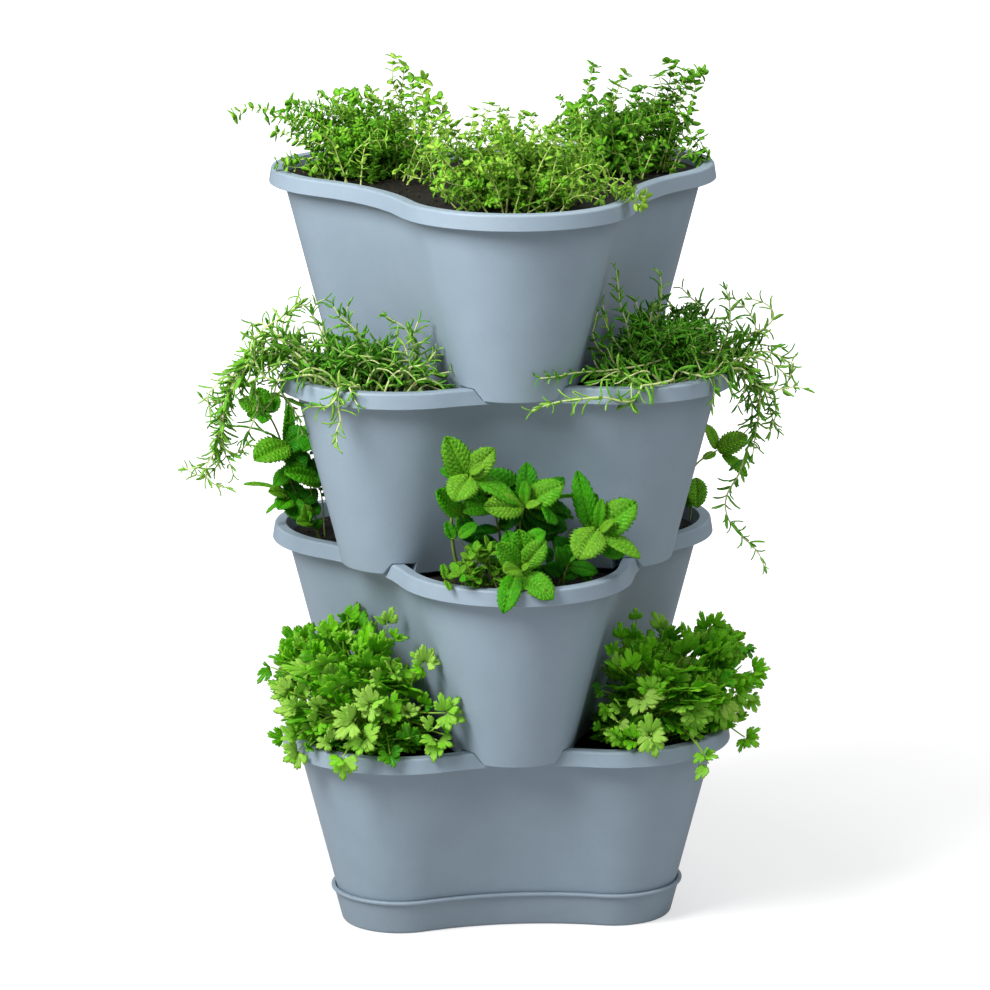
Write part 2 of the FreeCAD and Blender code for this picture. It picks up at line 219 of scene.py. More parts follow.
def floor():
    mesh = bpy.data.meshes.new("floor")
    s = 9.0
    mesh.from_pydata([(-s, -s, 0), (s, -s, 0), (s, s, 0), (-s, s, 0)], [], [(0, 1, 2, 3)])
    o = bpy.data.objects.new("floor", mesh)
    bpy.context.scene.collection.objects.link(o)
    m, nt, sh = new_material("floor_white")
    co = nt.nodes.new("ShaderNodeTexCoord").outputs["Object"]
    n = node(nt, "ShaderNodeTexNoise", Scale=3.0, Detail=2.0)
    nt.links.new(co, n.inputs["Vector"])
    r = ramp(nt, n.outputs["Fac"], [(0.3, (0.52, 0.52, 0.52)), (0.7, (0.54, 0.54, 0.54))])
    nt.links.new(r.outputs[0], sh.inputs["Base Color"])
    sh.inputs["Roughness"].default_value = 0.9
    sh.inputs["Specular IOR Level"].default_value = 0.1
    # a lit table: white to the eye, brighter away from the object, and no extra light on the object
    flat = nt.nodes.new("ShaderNodeVectorMath")
    flat.operation = "LENGTH"
    nt.links.new(co, flat.inputs[0])
    far = maths(nt, "MULTIPLY", maths(nt, "SUBTRACT", flat.outputs["Value"], 0.30), 0.62, True)
    glow = maths(nt, "ADD", maths(nt, "MULTIPLY", far, 0.7), 0.54)
    eye = nt.nodes.new("ShaderNodeLightPath").outputs["Is Camera Ray"]
    nt.links.new(maths(nt, "MULTIPLY", glow, eye), sh.inputs["Emission Strength"])
    sh.inputs["Emission Color"].default_value = (1.0, 1.0, 1.0, 1.0)
    o.data.materials.append(m)
    return o


floor()


# ------------------------------------------------- shape of the pots, in mm
LOBE_D, LOBE_R, WAIST_Q = 103.2, 97.0, 191.5
REACH = LOBE_R + WAIST_Q
WAIST_X = LOBE_D / 2 + math.sqrt(REACH * REACH - 0.75 * LOBE_D * LOBE_D)
LOBE_HALF = math.atan2(WAIST_X * math.sin(math.pi / 3), WAIST_X * 0.5 - LOBE_D)
POT_H, PITCH, POT_Z0, DRAFT, WALL_IN, SKIN = 160.9, 151.4, 3.2, 0.2535, 9.4, 2.063
FIRST = {1: 90, 2: -90, 3: 90, 4: -90}
RIM = {k: POT_Z0 + (k - 1) * PITCH + POT_H for k in FIRST}
SOIL = -12.0


def inset(x, y, first):
    """How far in from the outline of the rim's skirt a point lies, and the way out there."""
    ang = np.degrees(np.arctan2(y, x))
    d = (ang - first + 60) % 120 - 60
    r = np.hypot(x, y)
    lx, ly = r * np.cos(np.radians(d)), r * np.sin(np.radians(d))
    sgn = np.where(ly < 0, -1.0, 1.0)
    ly = np.abs(ly)
    in_lobe = np.arctan2(ly, lx - LOBE_D) < LOBE_HALF
    wx, wy = WAIST_X * 0.5, WAIST_X * math.sin(math.pi / 3)
    rl = np.maximum(np.hypot(lx - LOBE_D, ly), 1e-6)
    rw = np.maximum(np.hypot(lx - wx, ly - wy), 1e-6)
    off = np.where(in_lobe, LOBE_R - rl, rw - WAIST_Q)
    ox = np.where(in_lobe, (lx - LOBE_D) / rl, (wx - lx) / rw)
    oy = np.where(in_lobe, ly / rl, (wy - ly) / rw) * sgn
    turn = np.radians(ang - d)
    return off, ox * np.cos(turn) - oy * np.sin(turn), ox * np.sin(turn) + oy * np.cos(turn)


def keep_clear(p, tier, grow=0.0):
    """Moves the points of a plant (mm) off the pot above it and off the rim of its own pot."""
    p = p.copy()
    if tier < 4:
        zz = p[:, 2] - (POT_Z0 + tier * PITCH)
        off, ox, oy = inset(p[:, 0], p[:, 1], FIRST[tier + 1])
        limit = WALL_IN + DRAFT * (POT_H - np.maximum(zz, 0)) - 1.2 - grow
        push = np.where(zz > -3, np.maximum(off - limit, 0), 0)
        p[:, 0] += ox * push
        p[:, 1] += oy * push
    h = p[:, 2] - RIM[tier]
    off, ox, oy = inset(p[:, 0], p[:, 1], FIRST[tier])
    outer = np.where(h > -13.5, -1.0, WALL_IN - DRAFT * h - 1.0) - grow
    inner = WALL_IN - DRAFT * np.minimum(h, 0) + SKIN + 0.8 + grow
    inside = (h < 1.0 + grow) & (h > -120) & (off > outer) & (off < inner)
    lift = inside & (h > -6)
    p[lift, 2] = RIM[tier] + 1.0 + grow + 0.15 * (h[lift] + 6)
    side = inside & ~lift
    out = side & (off < 4.0)
    p[out, 0] += (ox * (off - outer))[out]
    p[out, 1] += (oy * (off - outer))[out]
    back = side & ~out
    p[back, 0] -= (ox * (inner - off))[back]
    p[back, 1] -= (oy * (inner - off))[back]
    return p


def into_pot(p, tier, margin=4.0):
    """The same place (mm), moved in so that it stands in the mix of its pot."""
    off, ox, oy = inset(np.array([p[0]]), np.array([p[1]]), FIRST[tier])
    need = max(WALL_IN - DRAFT * SOIL + SKIN + margin - off[0], 0.0)
    return np.array([p[0] - ox[0] * need, p[1] - oy[0] * need, p[2]])


# --------------------------------------------------------- plant mesh builder
def unit(v):
    v = np.asarray(v, float)
    return v / np.maximum(np.linalg.norm(v, axis=-1, keepdims=True), 1e-9)


class Tuft:
    """Collects closed leaves and closed stems of one plant in one mesh."""

    def __init__(self, tier, seed):
        self.tier = tier
        self.rng = np.random.default_rng(seed)
        self.co, self.quads, self.tris = [], [], []
        self.t, self.s, self.under, self.tint, self.part = [], [], [], [], []
        self.count = 0
        self.ends = []

    def _push(self, co, quads, tris, t, s, under, tint, part):
        m, n = co.shape[0], co.shape[1]
        base = self.count + np.arange(m)[:, None, None] * n
        if len(quads):
            self.quads.append((quads[None] + base).reshape(-1, 4))
        if len(tris):
            self.tris.append((tris[None] + base).reshape(-1, 3))
        self.co.append(co.reshape(-1, 3))
        self.t.append(np.tile(t, m))
        self.s.append(np.tile(s, m))
        self.under.append(np.tile(under, m))
        self.tint.append(np.repeat(tint, n))
        self.part.append(np.full(m * n, float(part)))
        self.ends.append(self.count + n * np.arange(1, m + 1))
        self.count += m * n

    def leaves(self, shape, base, way, face, length, half, curl=0.0, fold=0.0, twist=0.0, thick=0.3, tint=None, part=0):
        """Many leaves of one shape. way is the direction from base to tip, face the way the upper side looks."""
        base = np.atleast_2d(base).astype(float)
        m = len(base)
        way = unit(np.broadcast_to(way, (m, 3)))
        face = np.broadcast_to(face, (m, 3)).astype(float)
        face = unit(face - (face * way).sum(1, keepdims=True) * way + 1e-7)
        full = lambda a: np.broadcast_to(np.asarray(a, float), (m,))[:, None]
        length, half, curl, fold, twist, thick = map(full, (length, half, curl, fold, twist, thick))
        curl = np.where(np.abs(curl) < 1e-3, 1e-3, curl)
        length = length * (curl / 2) / np.sin(curl / 2)
        side = np.cross(way, face)
        # the chord is what was asked for, so the leaf starts turned up by half its curl
        c, s_ = np.cos(curl / 2), np.sin(curl / 2)
        way, face = way * c + face * s_, face * c - way * s_
        X, T, Z, top = (shape[k][None] for k in ("x", "t", "z", "top"))
        x = X * half
        z = fold * np.abs(x) + Z * half + top * thick * shape["body"][None]
        a = twist * (T - 0.3)
        x, z = x * np.cos(a) - z * np.sin(a), x * np.sin(a) + z * np.cos(a)
        y = length / curl * np.sin(curl * T) + z * np.sin(curl * T)
        zz = -length / curl * (1 - np.cos(curl * T)) + z * np.cos(curl * T)
        co = base[:, None] + x[..., None] * side[:, None] + y[..., None] * way[:, None] + zz[..., None] * face[:, None]
        if tint is None:
            tint = self.rng.random(m)
        self._push(co, shape["quads"], shape["tris"], shape["t"], shape["s"], (1 - shape["top"]) / 2,
                   np.broadcast_to(np.asarray(tint, float), (m,)), part)

    def stem(self, path, r0, r1, sides=6, tint=0.5, part=1):
        """Closed tube along a smooth path (mm)."""
        path = np.array(path, float)
        n = len(path)
        if n > 6:
            for _ in range(3):
                path = keep_clear(path, self.tier, r0 * 1.1)
                path[1:-1] = 0.25 * path[:-2] + 0.5 * path[1:-1] + 0.25 * path[2:]
            path = keep_clear(path, self.tier, r0)
        tan = unit(np.gradient(path, axis=0))
        ref = np.array([0.3, 0.2, 1.0]) if abs(tan[0][2]) < 0.8 else np.array([1.0, 0.2, 0.1])
        u = np.cross(tan, ref)
        for i in range(n):
            if i:
                u[i] = u[i - 1] - (u[i - 1] @ tan[i]) * tan[i]
            u[i] /= max(np.linalg.norm(u[i]), 1e-9)
        w = np.cross(tan, u)
        r = np.linspace(r0, r1, n)[:, None, None]
        a = np.linspace(0, 2 * np.pi, sides, endpoint=False)
        ringp = path[:, None] + r * (u[:, None] * np.cos(a)[None, :, None] + w[:, None] * np.sin(a)[None, :, None])
        co = np.concatenate([ringp.reshape(-1, 3), path[:1] - tan[:1] * r0 * 0.4, path[-1:] + tan[-1:] * r1 * 0.8])
        i, j = np.meshgrid(np.arange(n - 1), np.arange(sides), indexing="ij")
        q = np.stack([i * sides + j, i * sides + (j + 1) % sides, (i + 1) * sides + (j + 1) % sides, (i + 1) * sides + j], -1).reshape(-1, 4)
        j = np.arange(sides)
        t1 = np.stack([np.full(sides, n * sides), (j + 1) % sides, j], -1)
        e = (n - 1) * sides
        t2 = np.stack([np.full(sides, n * sides + 1), e + j, e + (j + 1) % sides], -1)
        t = np.concatenate([np.repeat(np.linspace(0, 1, n), sides), [0, 1]])
        zero = np.zeros(len(co))
        self._push(co[None], q, np.concatenate([t1, t2]), t, zero, zero, np.array([tint]), part)
        return path

    def object(self, name, material, node_name, most=190000):
        """The plant as one piece, or parted between leaves into pieces of fewer triangles."""
        co = keep_clear(np.concatenate(self.co), self.tier) / 1000
        quads, tris, ends = (np.concatenate(a) for a in (self.quads, self.tris, self.ends))
        values = {key: np.concatenate(value).astype(np.float32) for key, value in
                  (("leaf_t", self.t), ("leaf_s", self.s), ("under", self.under), ("tint", self.tint), ("part", self.part))}
        pieces = -(-(len(quads) * 2 + len(tris)) // most)
        cuts = [0] + [int(ends[np.abs(ends - self.count * k / pieces).argmin()]) for k in range(1, pieces)] + [self.count]
        made = []
        for k, (first, stop) in enumerate(zip(cuts, cuts[1:])):
            q, t = (f[(f[:, 0] >= first) & (f[:, 0] < stop)] - first for f in (quads, tris))
            nq, nt = len(q), len(t)
            mesh = bpy.data.meshes.new(name if k == 0 else f"{name}_{k + 1}")
            mesh.vertices.add(stop - first)
            mesh.vertices.foreach_set("co", co[first:stop].astype(np.float32).ravel())
            mesh.loops.add(nq * 4 + nt * 3)
            mesh.loops.foreach_set("vertex_index", np.concatenate([q.ravel(), t.ravel()]).astype(np.int32))
            mesh.polygons.add(nq + nt)
            mesh.polygons.foreach_set("loop_start", np.concatenate([np.arange(nq) * 4, nq * 4 + np.arange(nt) * 3]).astype(np.int32))
            mesh.polygons.foreach_set("use_smooth", np.ones(nq + nt, bool))
            for key, value in values.items():
                mesh.attributes.new(key, "FLOAT", "POINT").data.foreach_set("value", np.ascontiguousarray(value[first:stop]))
            mesh.update(calc_edges=True)
            mesh.validate()
            o = bpy.data.objects.new(mesh.name, mesh)
            bpy.context.scene.collection.objects.link(o)
            mesh.materials.append(material)
            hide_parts(node_name)
            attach(o, f"tier_{self.tier}")
            print(o.name, "triangles", nq * 2 + nt)
            made.append(o)
        return made


# -------------------------------------------------------------- leaf shapes
def strip_shape(ts, widths, cols, tooth=None, quilt=None):
    """Closed thin leaf: rows along, cols across, upper and lower side meeting at the margin."""
    nr = len(ts)
    f = np.linspace(-1, 1, cols)
    x, t, z, top, s, body = [], [], [], [], [], []
    idx_top = np.zeros((nr, cols), int)
    idx_bot = np.zeros((nr, cols), int)
    k = 0
    for i, (tt, w) in enumerate(zip(ts, widths)):
        ends = i in (0, nr - 1)
        cells = [0.0] if ends else f
        for side in (1, -1):
            for j, fj in enumerate(cells):
                border = ends or abs(abs(fj) - 1) < 1e-9
                if border and side == -1:
                    if ends:
                        idx_bot[i, :] = idx_top[i, 0]
                    else:
                        idx_bot[i, j] = idx_top[i, j]
                    continue
                ww = w * (1 + (tooth(tt) if tooth and border and not ends else 0))
                x.append(fj * ww)
                t.append(tt - (0.012 if tooth and border and not ends else 0))
                z.append(quilt(tt, fj) if quilt and not border else 0.0)
                top.append(0.0 if border else float(side))
                s.append(fj)
                body.append(0.5)
                if side == 1:
                    if ends:
                        idx_top[i, :] = k
                    else:
                        idx_top[i, j] = k
                else:
                    idx_bot[i, j] = k
                k += 1
    quads, tris = [], []
    for idx, flip in ((idx_top, False), (idx_bot, True)):
        for i in range(nr - 1):
            for j in range(cols - 1):
                q = [idx[i, j], idx[i, j + 1], idx[i + 1, j + 1], idx[i + 1, j]]
                q = [a for n, a in enumerate(q) if a not in q[:n]]
                if flip:
                    q = q[::-1]
                if len(q) == 4:
                    quads.append(q)
                elif len(q) == 3:
                    tris.append(q)
    arr = lambda a: np.array(a, float)
    return {"x": arr(x), "t": arr(t), "z": arr(z), "top": arr(top), "s": arr(s), "body": arr(body),
            "quads": np.array(quads, int).reshape(-1, 4), "tris": np.array(tris, int).reshape(-1, 3)}


def blade(t, widest, point, heel=0.6):
    """Half width along a leaf, 1 at the widest place."""
    t = np.asarray(t, float)
    lo = np.clip(t / widest, 0, 1)
    hi = np.clip((t - widest) / (1 - widest), 0, 1)
    return np.where(t < widest, np.sin(lo * np.pi / 2) ** heel, np.maximum(1 - hi ** point, 0) ** 0.75)


def make_mint(seed, rows=50, cols=15, teeth=11):
    """Broad toothed blade, puffed up between its sunken side veins."""
    ts = np.linspace(0, 1, rows)
    w = blade(ts, 0.43, 2.6, 0.6)
    w[0] = w[-1] = 0

    def tooth(t):
        return 0.23 * (((t * teeth + 0.15) % 1.0) - 0.42) * min(1.0, t * 5)

    def quilt(t, s):
        a = abs(s)
        ph = t * 10.0 - a * 3.2 + 0.5 * a * a
        vein = abs(((ph % 1.0) - 0.5) * 2)              # 1 on a side vein
        cross = abs((((a * 3.0 + 0.35 * math.sin(ph * 6.28 + seed)) % 1.0) - 0.5) * 2)
        bulge = (1 - vein ** 2.4) * (1 - 0.5 * cross ** 3)
        rib = math.exp(-(s / 0.10) ** 2)
        edge = min(1.0, (1 - a) * 3.2)
        return 0.21 * bulge * edge * (1 - rib) - 0.08 * rib + 0.055 * math.sin(t * 9 + seed * 2) * a ** 2
    return strip_shape(ts, w, cols, tooth, quilt)


def make_fan(seed, steps=57, rings=(0.0, 0.3, 0.58, 0.82, 1.0)):
    """Parsley leaflet: a wedge that opens into three broad lobes with blunt teeth."""
    rng = np.random.default_rng(seed)
    a = np.linspace(-1, 1, steps)
    spread = math.radians(74)
    cut = 0.31 + 0.03 * rng.random()
    deep = 0.30 + 0.14 * rng.random(2)
    r = np.where(np.abs(a) < cut, 1.0 - 0.10 * (np.abs(a) / cut) ** 2, 0.90 - 0.34 * np.clip((np.abs(a) - cut - 0.25) / 0.55, 0, 1) ** 1.6)
    lobe = np.where(np.abs(a) < cut, (a + cut) / (2 * cut) * 3, (np.abs(a) - cut) / (1 - cut) * 4)
    lobe = lobe + 0.12 * np.sin(a * 7 + seed)
    r = r * (1 - 0.125 * (1 - np.abs(np.sin(np.pi * lobe))) ** 1.7)
    for c, depth in ((cut, deep[0]), (-cut, deep[1])):
        r = r * (1 - depth * np.exp(-(np.abs(a - c) / 0.075) ** 1.5))
    r[0] = r[-1] = 0.30
    x, t, z, top, s, body, tops, bots = [0.0], [0.0], [0.0], [0.0], [0.0], [0.5], [], []
    tops.append([0] * steps)
    bots.append([0] * steps)
    k = 1
    for n, q in enumerate(rings[1:]):
        for side, table in ((1, tops), (-1, bots)):
            row = []
            for i in range(steps):
                border = n == len(rings) - 2 or i in (0, steps - 1)
                if border and side == -1:
                    row.append(tops[-1][i])
                    continue
                g = a[i] * spread
                # lobes stay narrower near the base than near their ends
                g *= 0.66 + 0.34 * q
                x.append(math.sin(g) * r[i] * q * 1.05)
                t.append(math.cos(g) * r[i] * q)
                lob = math.cos(a[i] * math.pi / cut * 0.98)
                z.append((0.026 * lob + 0.020 * math.sin(a[i] * 15 + seed)) * q ** 1.5 + 0.05 * math.sin(q * 5 + seed))
                top.append(0.0 if border else float(side))
                s.append(a[i])
                body.append(0.5)
                row.append(k)
                k += 1
            table.append(row)
    quads, tris = [], []
    for table, flip in ((tops, False), (bots, True)):
        for n in range(len(rings) - 1):
            for i in range(steps - 1):
                q = [table[n][i + 1], table[n][i], table[n + 1][i], table[n + 1][i + 1]]
                q = [b for m, b in enumerate(q) if b not in q[:m]]
                if not flip:
                    q = q[::-1]
                (quads if len(q) == 4 else tris).append(q)
    arr = lambda v: np.array(v, float)
    return {"x": arr(x), "t": arr(t), "z": arr(z), "top": arr(top), "s": arr(s), "body": arr(body),
            "quads": np.array(quads, int).reshape(-1, 4), "tris": np.array(tris, int).reshape(-1, 3)}


NEEDLE = strip_shape(np.array([0, 0.12, 0.35, 0.65, 0.88, 1]), np.array([0, 0.75, 1, 0.95, 0.62, 0]), 3)
NEEDLE["z"] = NEEDLE["z"] + np.where(np.abs(NEEDLE["s"]) < 0.5, 0.25, -0.12)
SMALL = strip_shape(np.array([0, 0.16, 0.45, 0.78, 1]), np.array([0, 0.72, 1.0, 0.72, 0]), 3)
SMALL["z"] = SMALL["z"] + np.where(np.abs(SMALL["s"]) < 0.5, -0.10, 0.10)
OVAL = strip_shape(np.array([0, 0.10, 0.27, 0.48, 0.70, 0.89, 1]), np.array([0, 0.55, 0.91, 1.0, 0.83, 0.46, 0]), 3)
OVAL["z"] = OVAL["z"] + np.where(np.abs(OVAL["s"]) < 0.5, -0.10, 0.10)
MINT_SHAPES = [make_mint(k) for k in range(3)]
MINT_YOUNG = [make_mint(k, 25, 7, 7) for k in range(3)]
FANS = [make_fan(k) for k in range(5)]
SMALL_FANS = [make_fan(k + 5, 41, (0.0, 0.45, 0.8, 1.0)) for k in range(5)]


def smooth(points, n):
    """Catmull-Rom through points, n samples."""
    p = np.asarray(points, float)
    if len(p) == 2:
        return p[0] + (p[1] - p[0]) * np.linspace(0, 1, n)[:, None]
    p = np.concatenate([2 * p[:1] - p[1:2], p, 2 * p[-1:] - p[-2:-1]])
    seg = np.linalg.norm(np.diff(p[1:-1], axis=0), axis=1)
    cum = np.concatenate([[0], np.cumsum(seg)])
    out = []
    for d in np.linspace(0, cum[-1], n):
        i = min(np.searchsorted(cum, d, side="right") - 1, len(seg) - 1)
        u = (d - cum[i]) / max(seg[i], 1e-9)
        a, b, c, e = p[i], p[i + 1], p[i + 2], p[i + 3]
        out.append(0.5 * (2 * b + (c - a) * u + (2 * a - 5 * b + 4 * c - e) * u * u + (3 * b - a - 3 * c + e) * u ** 3))
    return np.array(out)


def wander(rng, path, size):
    """Small slow sideways drift, so no stem is a perfect curve."""
    n = len(path)
    t = np.linspace(0, 1, n)[:, None]
    d = sum(rng.normal(size=(1, 3)) / k * np.sin(np.pi * (k + 0.5) * t + rng.random((1, 3)) * 6) for k in (2, 3, 5))
    return path + d * size * t ** 0.7


def px(points, y0, y1):
    """Photo pixels to mm, with the depth running from y0 at the first point to y1 at the last."""
    m = len(points)
    out = []
    for i, p in enumerate(points):
        y = p[2] if len(p) > 2 else y0 + (y1 - y0) * i / max(m - 1, 1)
        out.append(at(p[0], p[1], y))
    return np.array(out)


def crown_point(rng, deg, secs, z, spread=0.96, edge=False):
    """Random point inside (or near the edge of) a plant's crown at height z over the rim."""
    zs = [s[0] for s in secs]
    v = [np.interp(z, zs, [s[i] for s in secs]) for i in range(1, 5)]
    g = rng.random() * 2 * np.pi
    r = (0.8 + 0.2 * rng.random()) if edge else math.sqrt(rng.random())
    rho, ac = v[0] + v[2] * spread * r * math.cos(g), v[1] + v[3] * spread * r * math.sin(g)
    c, s = math.cos(math.radians(deg)), math.sin(math.radians(deg))
    return np.array([rho * c - ac * s, rho * s + ac * c])


def node_frames(path, count, lo, hi):
    d = np.concatenate([[0], np.cumsum(np.linalg.norm(np.diff(path, axis=0), axis=1))])
    want = np.linspace(lo, hi, count) * d[-1]
    pos = np.stack([np.interp(want, d, path[:, i]) for i in range(3)], 1)
    tan = unit(np.gradient(path, axis=0))
    way = unit(np.stack([np.interp(want, d, tan[:, i]) for i in range(3)], 1))
    return pos, way, d[-1]


def whorls(tuft, path, step, lo, leaf_len, half, shape, open_deg, per=2, extra=0.0, curl=0.4, thick=0.3, fold=0.1, tint=(0.0, 1.0), grow=True, jitter=0.35, close=0.35, cross=False):
    """Leaves in pairs or whorls up a stem, each set turned on the last."""
    rng = tuft.rng
    length = np.linalg.norm(np.diff(path, axis=0), axis=1).sum()
    count = max(int(length * (1 - lo) / step), 2)
    pos, way, _ = node_frames(path, count, lo, 0.995)
    ref = unit(np.cross(way, np.array([0.37, 0.21, 0.9])))
    ref2 = np.cross(way, ref)
    B, D, F, L, H, C, T = [], [], [], [], [], [], []
    spin = rng.random() * 6.28
    base_tint = rng.random()
    for i in range(count):
        spin += math.pi / 2 if per == 2 else math.pi / per + 0.3
        frac = i / max(count - 1, 1)
        size = (1.0 - 0.45 * frac ** 3) if grow else 1.0
        end = cross and i == count - 1
        n = per * 2 if end else per + (rng.random() < extra) * per
        for j in range(n):
            g = spin + j * 2 * math.pi / n + rng.normal() * jitter * 0.6
            out = ref[i] * math.cos(g) + ref2[i] * math.sin(g)
            a = math.radians(open_deg * (1 - close * frac ** 4)) + rng.normal() * jitter * 0.5
            d = way[i] * math.cos(a) + out * math.sin(a)
            up = way[i] * math.sin(a) - out * math.cos(a)
            k = size * (0.75 + 0.4 * rng.random()) * (0.62 if j >= per and not end else 1.0)
            B.append(pos[i] + out * 0.3)
            D.append(d)
            F.append(up + rng.normal(size=3) * 0.25)
            L.append(leaf_len * k)
            H.append(half * k)
            C.append(curl * (0.4 + 1.2 * rng.random()) * (-1 if rng.random() < 0.12 else 1))
            T.append(tint[0] + (tint[1] - tint[0]) * (0.55 * base_tint + 0.45 * rng.random()))
    tuft.leaves(shape, np.array(B), np.array(D), np.array(F), np.array(L), np.array(H), np.array(C),
                fold=fold, twist=rng.normal(size=len(B)) * 0.3, thick=thick, tint=np.array(T))


# ------------------------------------------------------------ crowns, in mm
THYME = {"left": (150, [(SOIL, 106, 4, 46, 50), (6, 118, 6, 60, 66), (36, 128, 4, 70, 74), (62, 120, 0, 58, 60), (84, 104, -8, 30, 30), (95, 96, -14, 10, 10)]),
         "front": (-90, [(SOIL, 106, 0, 48, 52), (8, 112, 3, 66, 78), (34, 108, 5, 68, 84), (58, 100, 2, 52, 60), (76, 94, 0, 22, 26)]),
         "right": (30, [(SOIL, 106, 0, 44, 46), (6, 116, 0, 56, 58), (36, 124, 2, 62, 62), (64, 122, 4, 52, 52), (81, 116, 6, 22, 24)])}
ROSEMARY = {"left": (-150, [(SOIL, 137, 0, 26, 38), (8, 147, 0, 44, 58), (34, 162, 2, 48, 60), (58, 180, 2, 38, 48), (70, 186, 2, 14, 20)]),
            "right": (-30, [(SOIL, 137, 0, 26, 38), (8, 145, 0, 44, 60), (40, 156, 0, 50, 60), (68, 157, -8, 42, 48), (84, 152, -12, 14, 18)]),
            "back": (90, [(SOIL, 137, 0, 26, 38), (8, 147, 0, 44, 58), (34, 160, 0, 48, 58), (58, 170, 0, 36, 46), (72, 172, 0, 14, 18)])}
BOUGH = {"left": [(-158, -84, 44, 26), (-198, -82, 44, 26), (-232, -78, 14, 22), (-240, -74, -34, 20), (-236, -72, -98, 10)],
         "right": [(158, -84, 52, 26), (198, -80, 52, 26), (224, -76, 14, 20), (224, -74, -44, 18), (215, -72, -116, 14), (212, -72, -168, 6)],
         "back": [(4, 168, 40, 24), (8, 200, 40, 24), (10, 226, 12, 18), (8, 230, -36, 14), (4, 226, -70, 8)]}
MINT = {"front": (-90, [(SOIL, 137, 0, 24, 36), (10, 144, 6, 42, 64), (40, 152, 10, 44, 72), (76, 158, 0, 36, 60), (104, 160, -26, 24, 30), (115, 160, -30, 9, 12)]),
        "left": (150, [(SOIL, 137, 0, 24, 36), (10, 145, 0, 40, 58), (45, 154, 2, 42, 62), (80, 160, 2, 34, 48), (103, 162, 2, 12, 16)]),
        "right": (30, [(SOIL, 137, 0, 24, 36), (10, 145, 0, 40, 56), (45, 156, 0, 42, 58), (78, 162, 0, 32, 44), (96, 164, 0, 12, 16)])}
PARSLEY = {"left": (-150, [(SOIL, 137, 0, 26, 38), (6, 145, 0, 44, 62), (34, 156, 0, 52, 68), (74, 158, 0, 44, 58), (102, 154, 0, 26, 34), (115, 152, 0, 9, 12)]),
           "right": (-30, [(SOIL, 137, 0, 26, 38), (6, 144, 0, 44, 62), (34, 156, 2, 52, 68), (70, 158, 4, 44, 58), (92, 154, 4, 26, 36), (104, 152, 4, 9, 12)]),
           "back": (90, [(SOIL, 137, 0, 26, 38), (6, 145, 0, 42, 60), (34, 155, 0, 50, 66), (70, 157, 0, 42, 56), (94, 152, 0, 25, 34), (106, 150, 0, 9, 12)])}

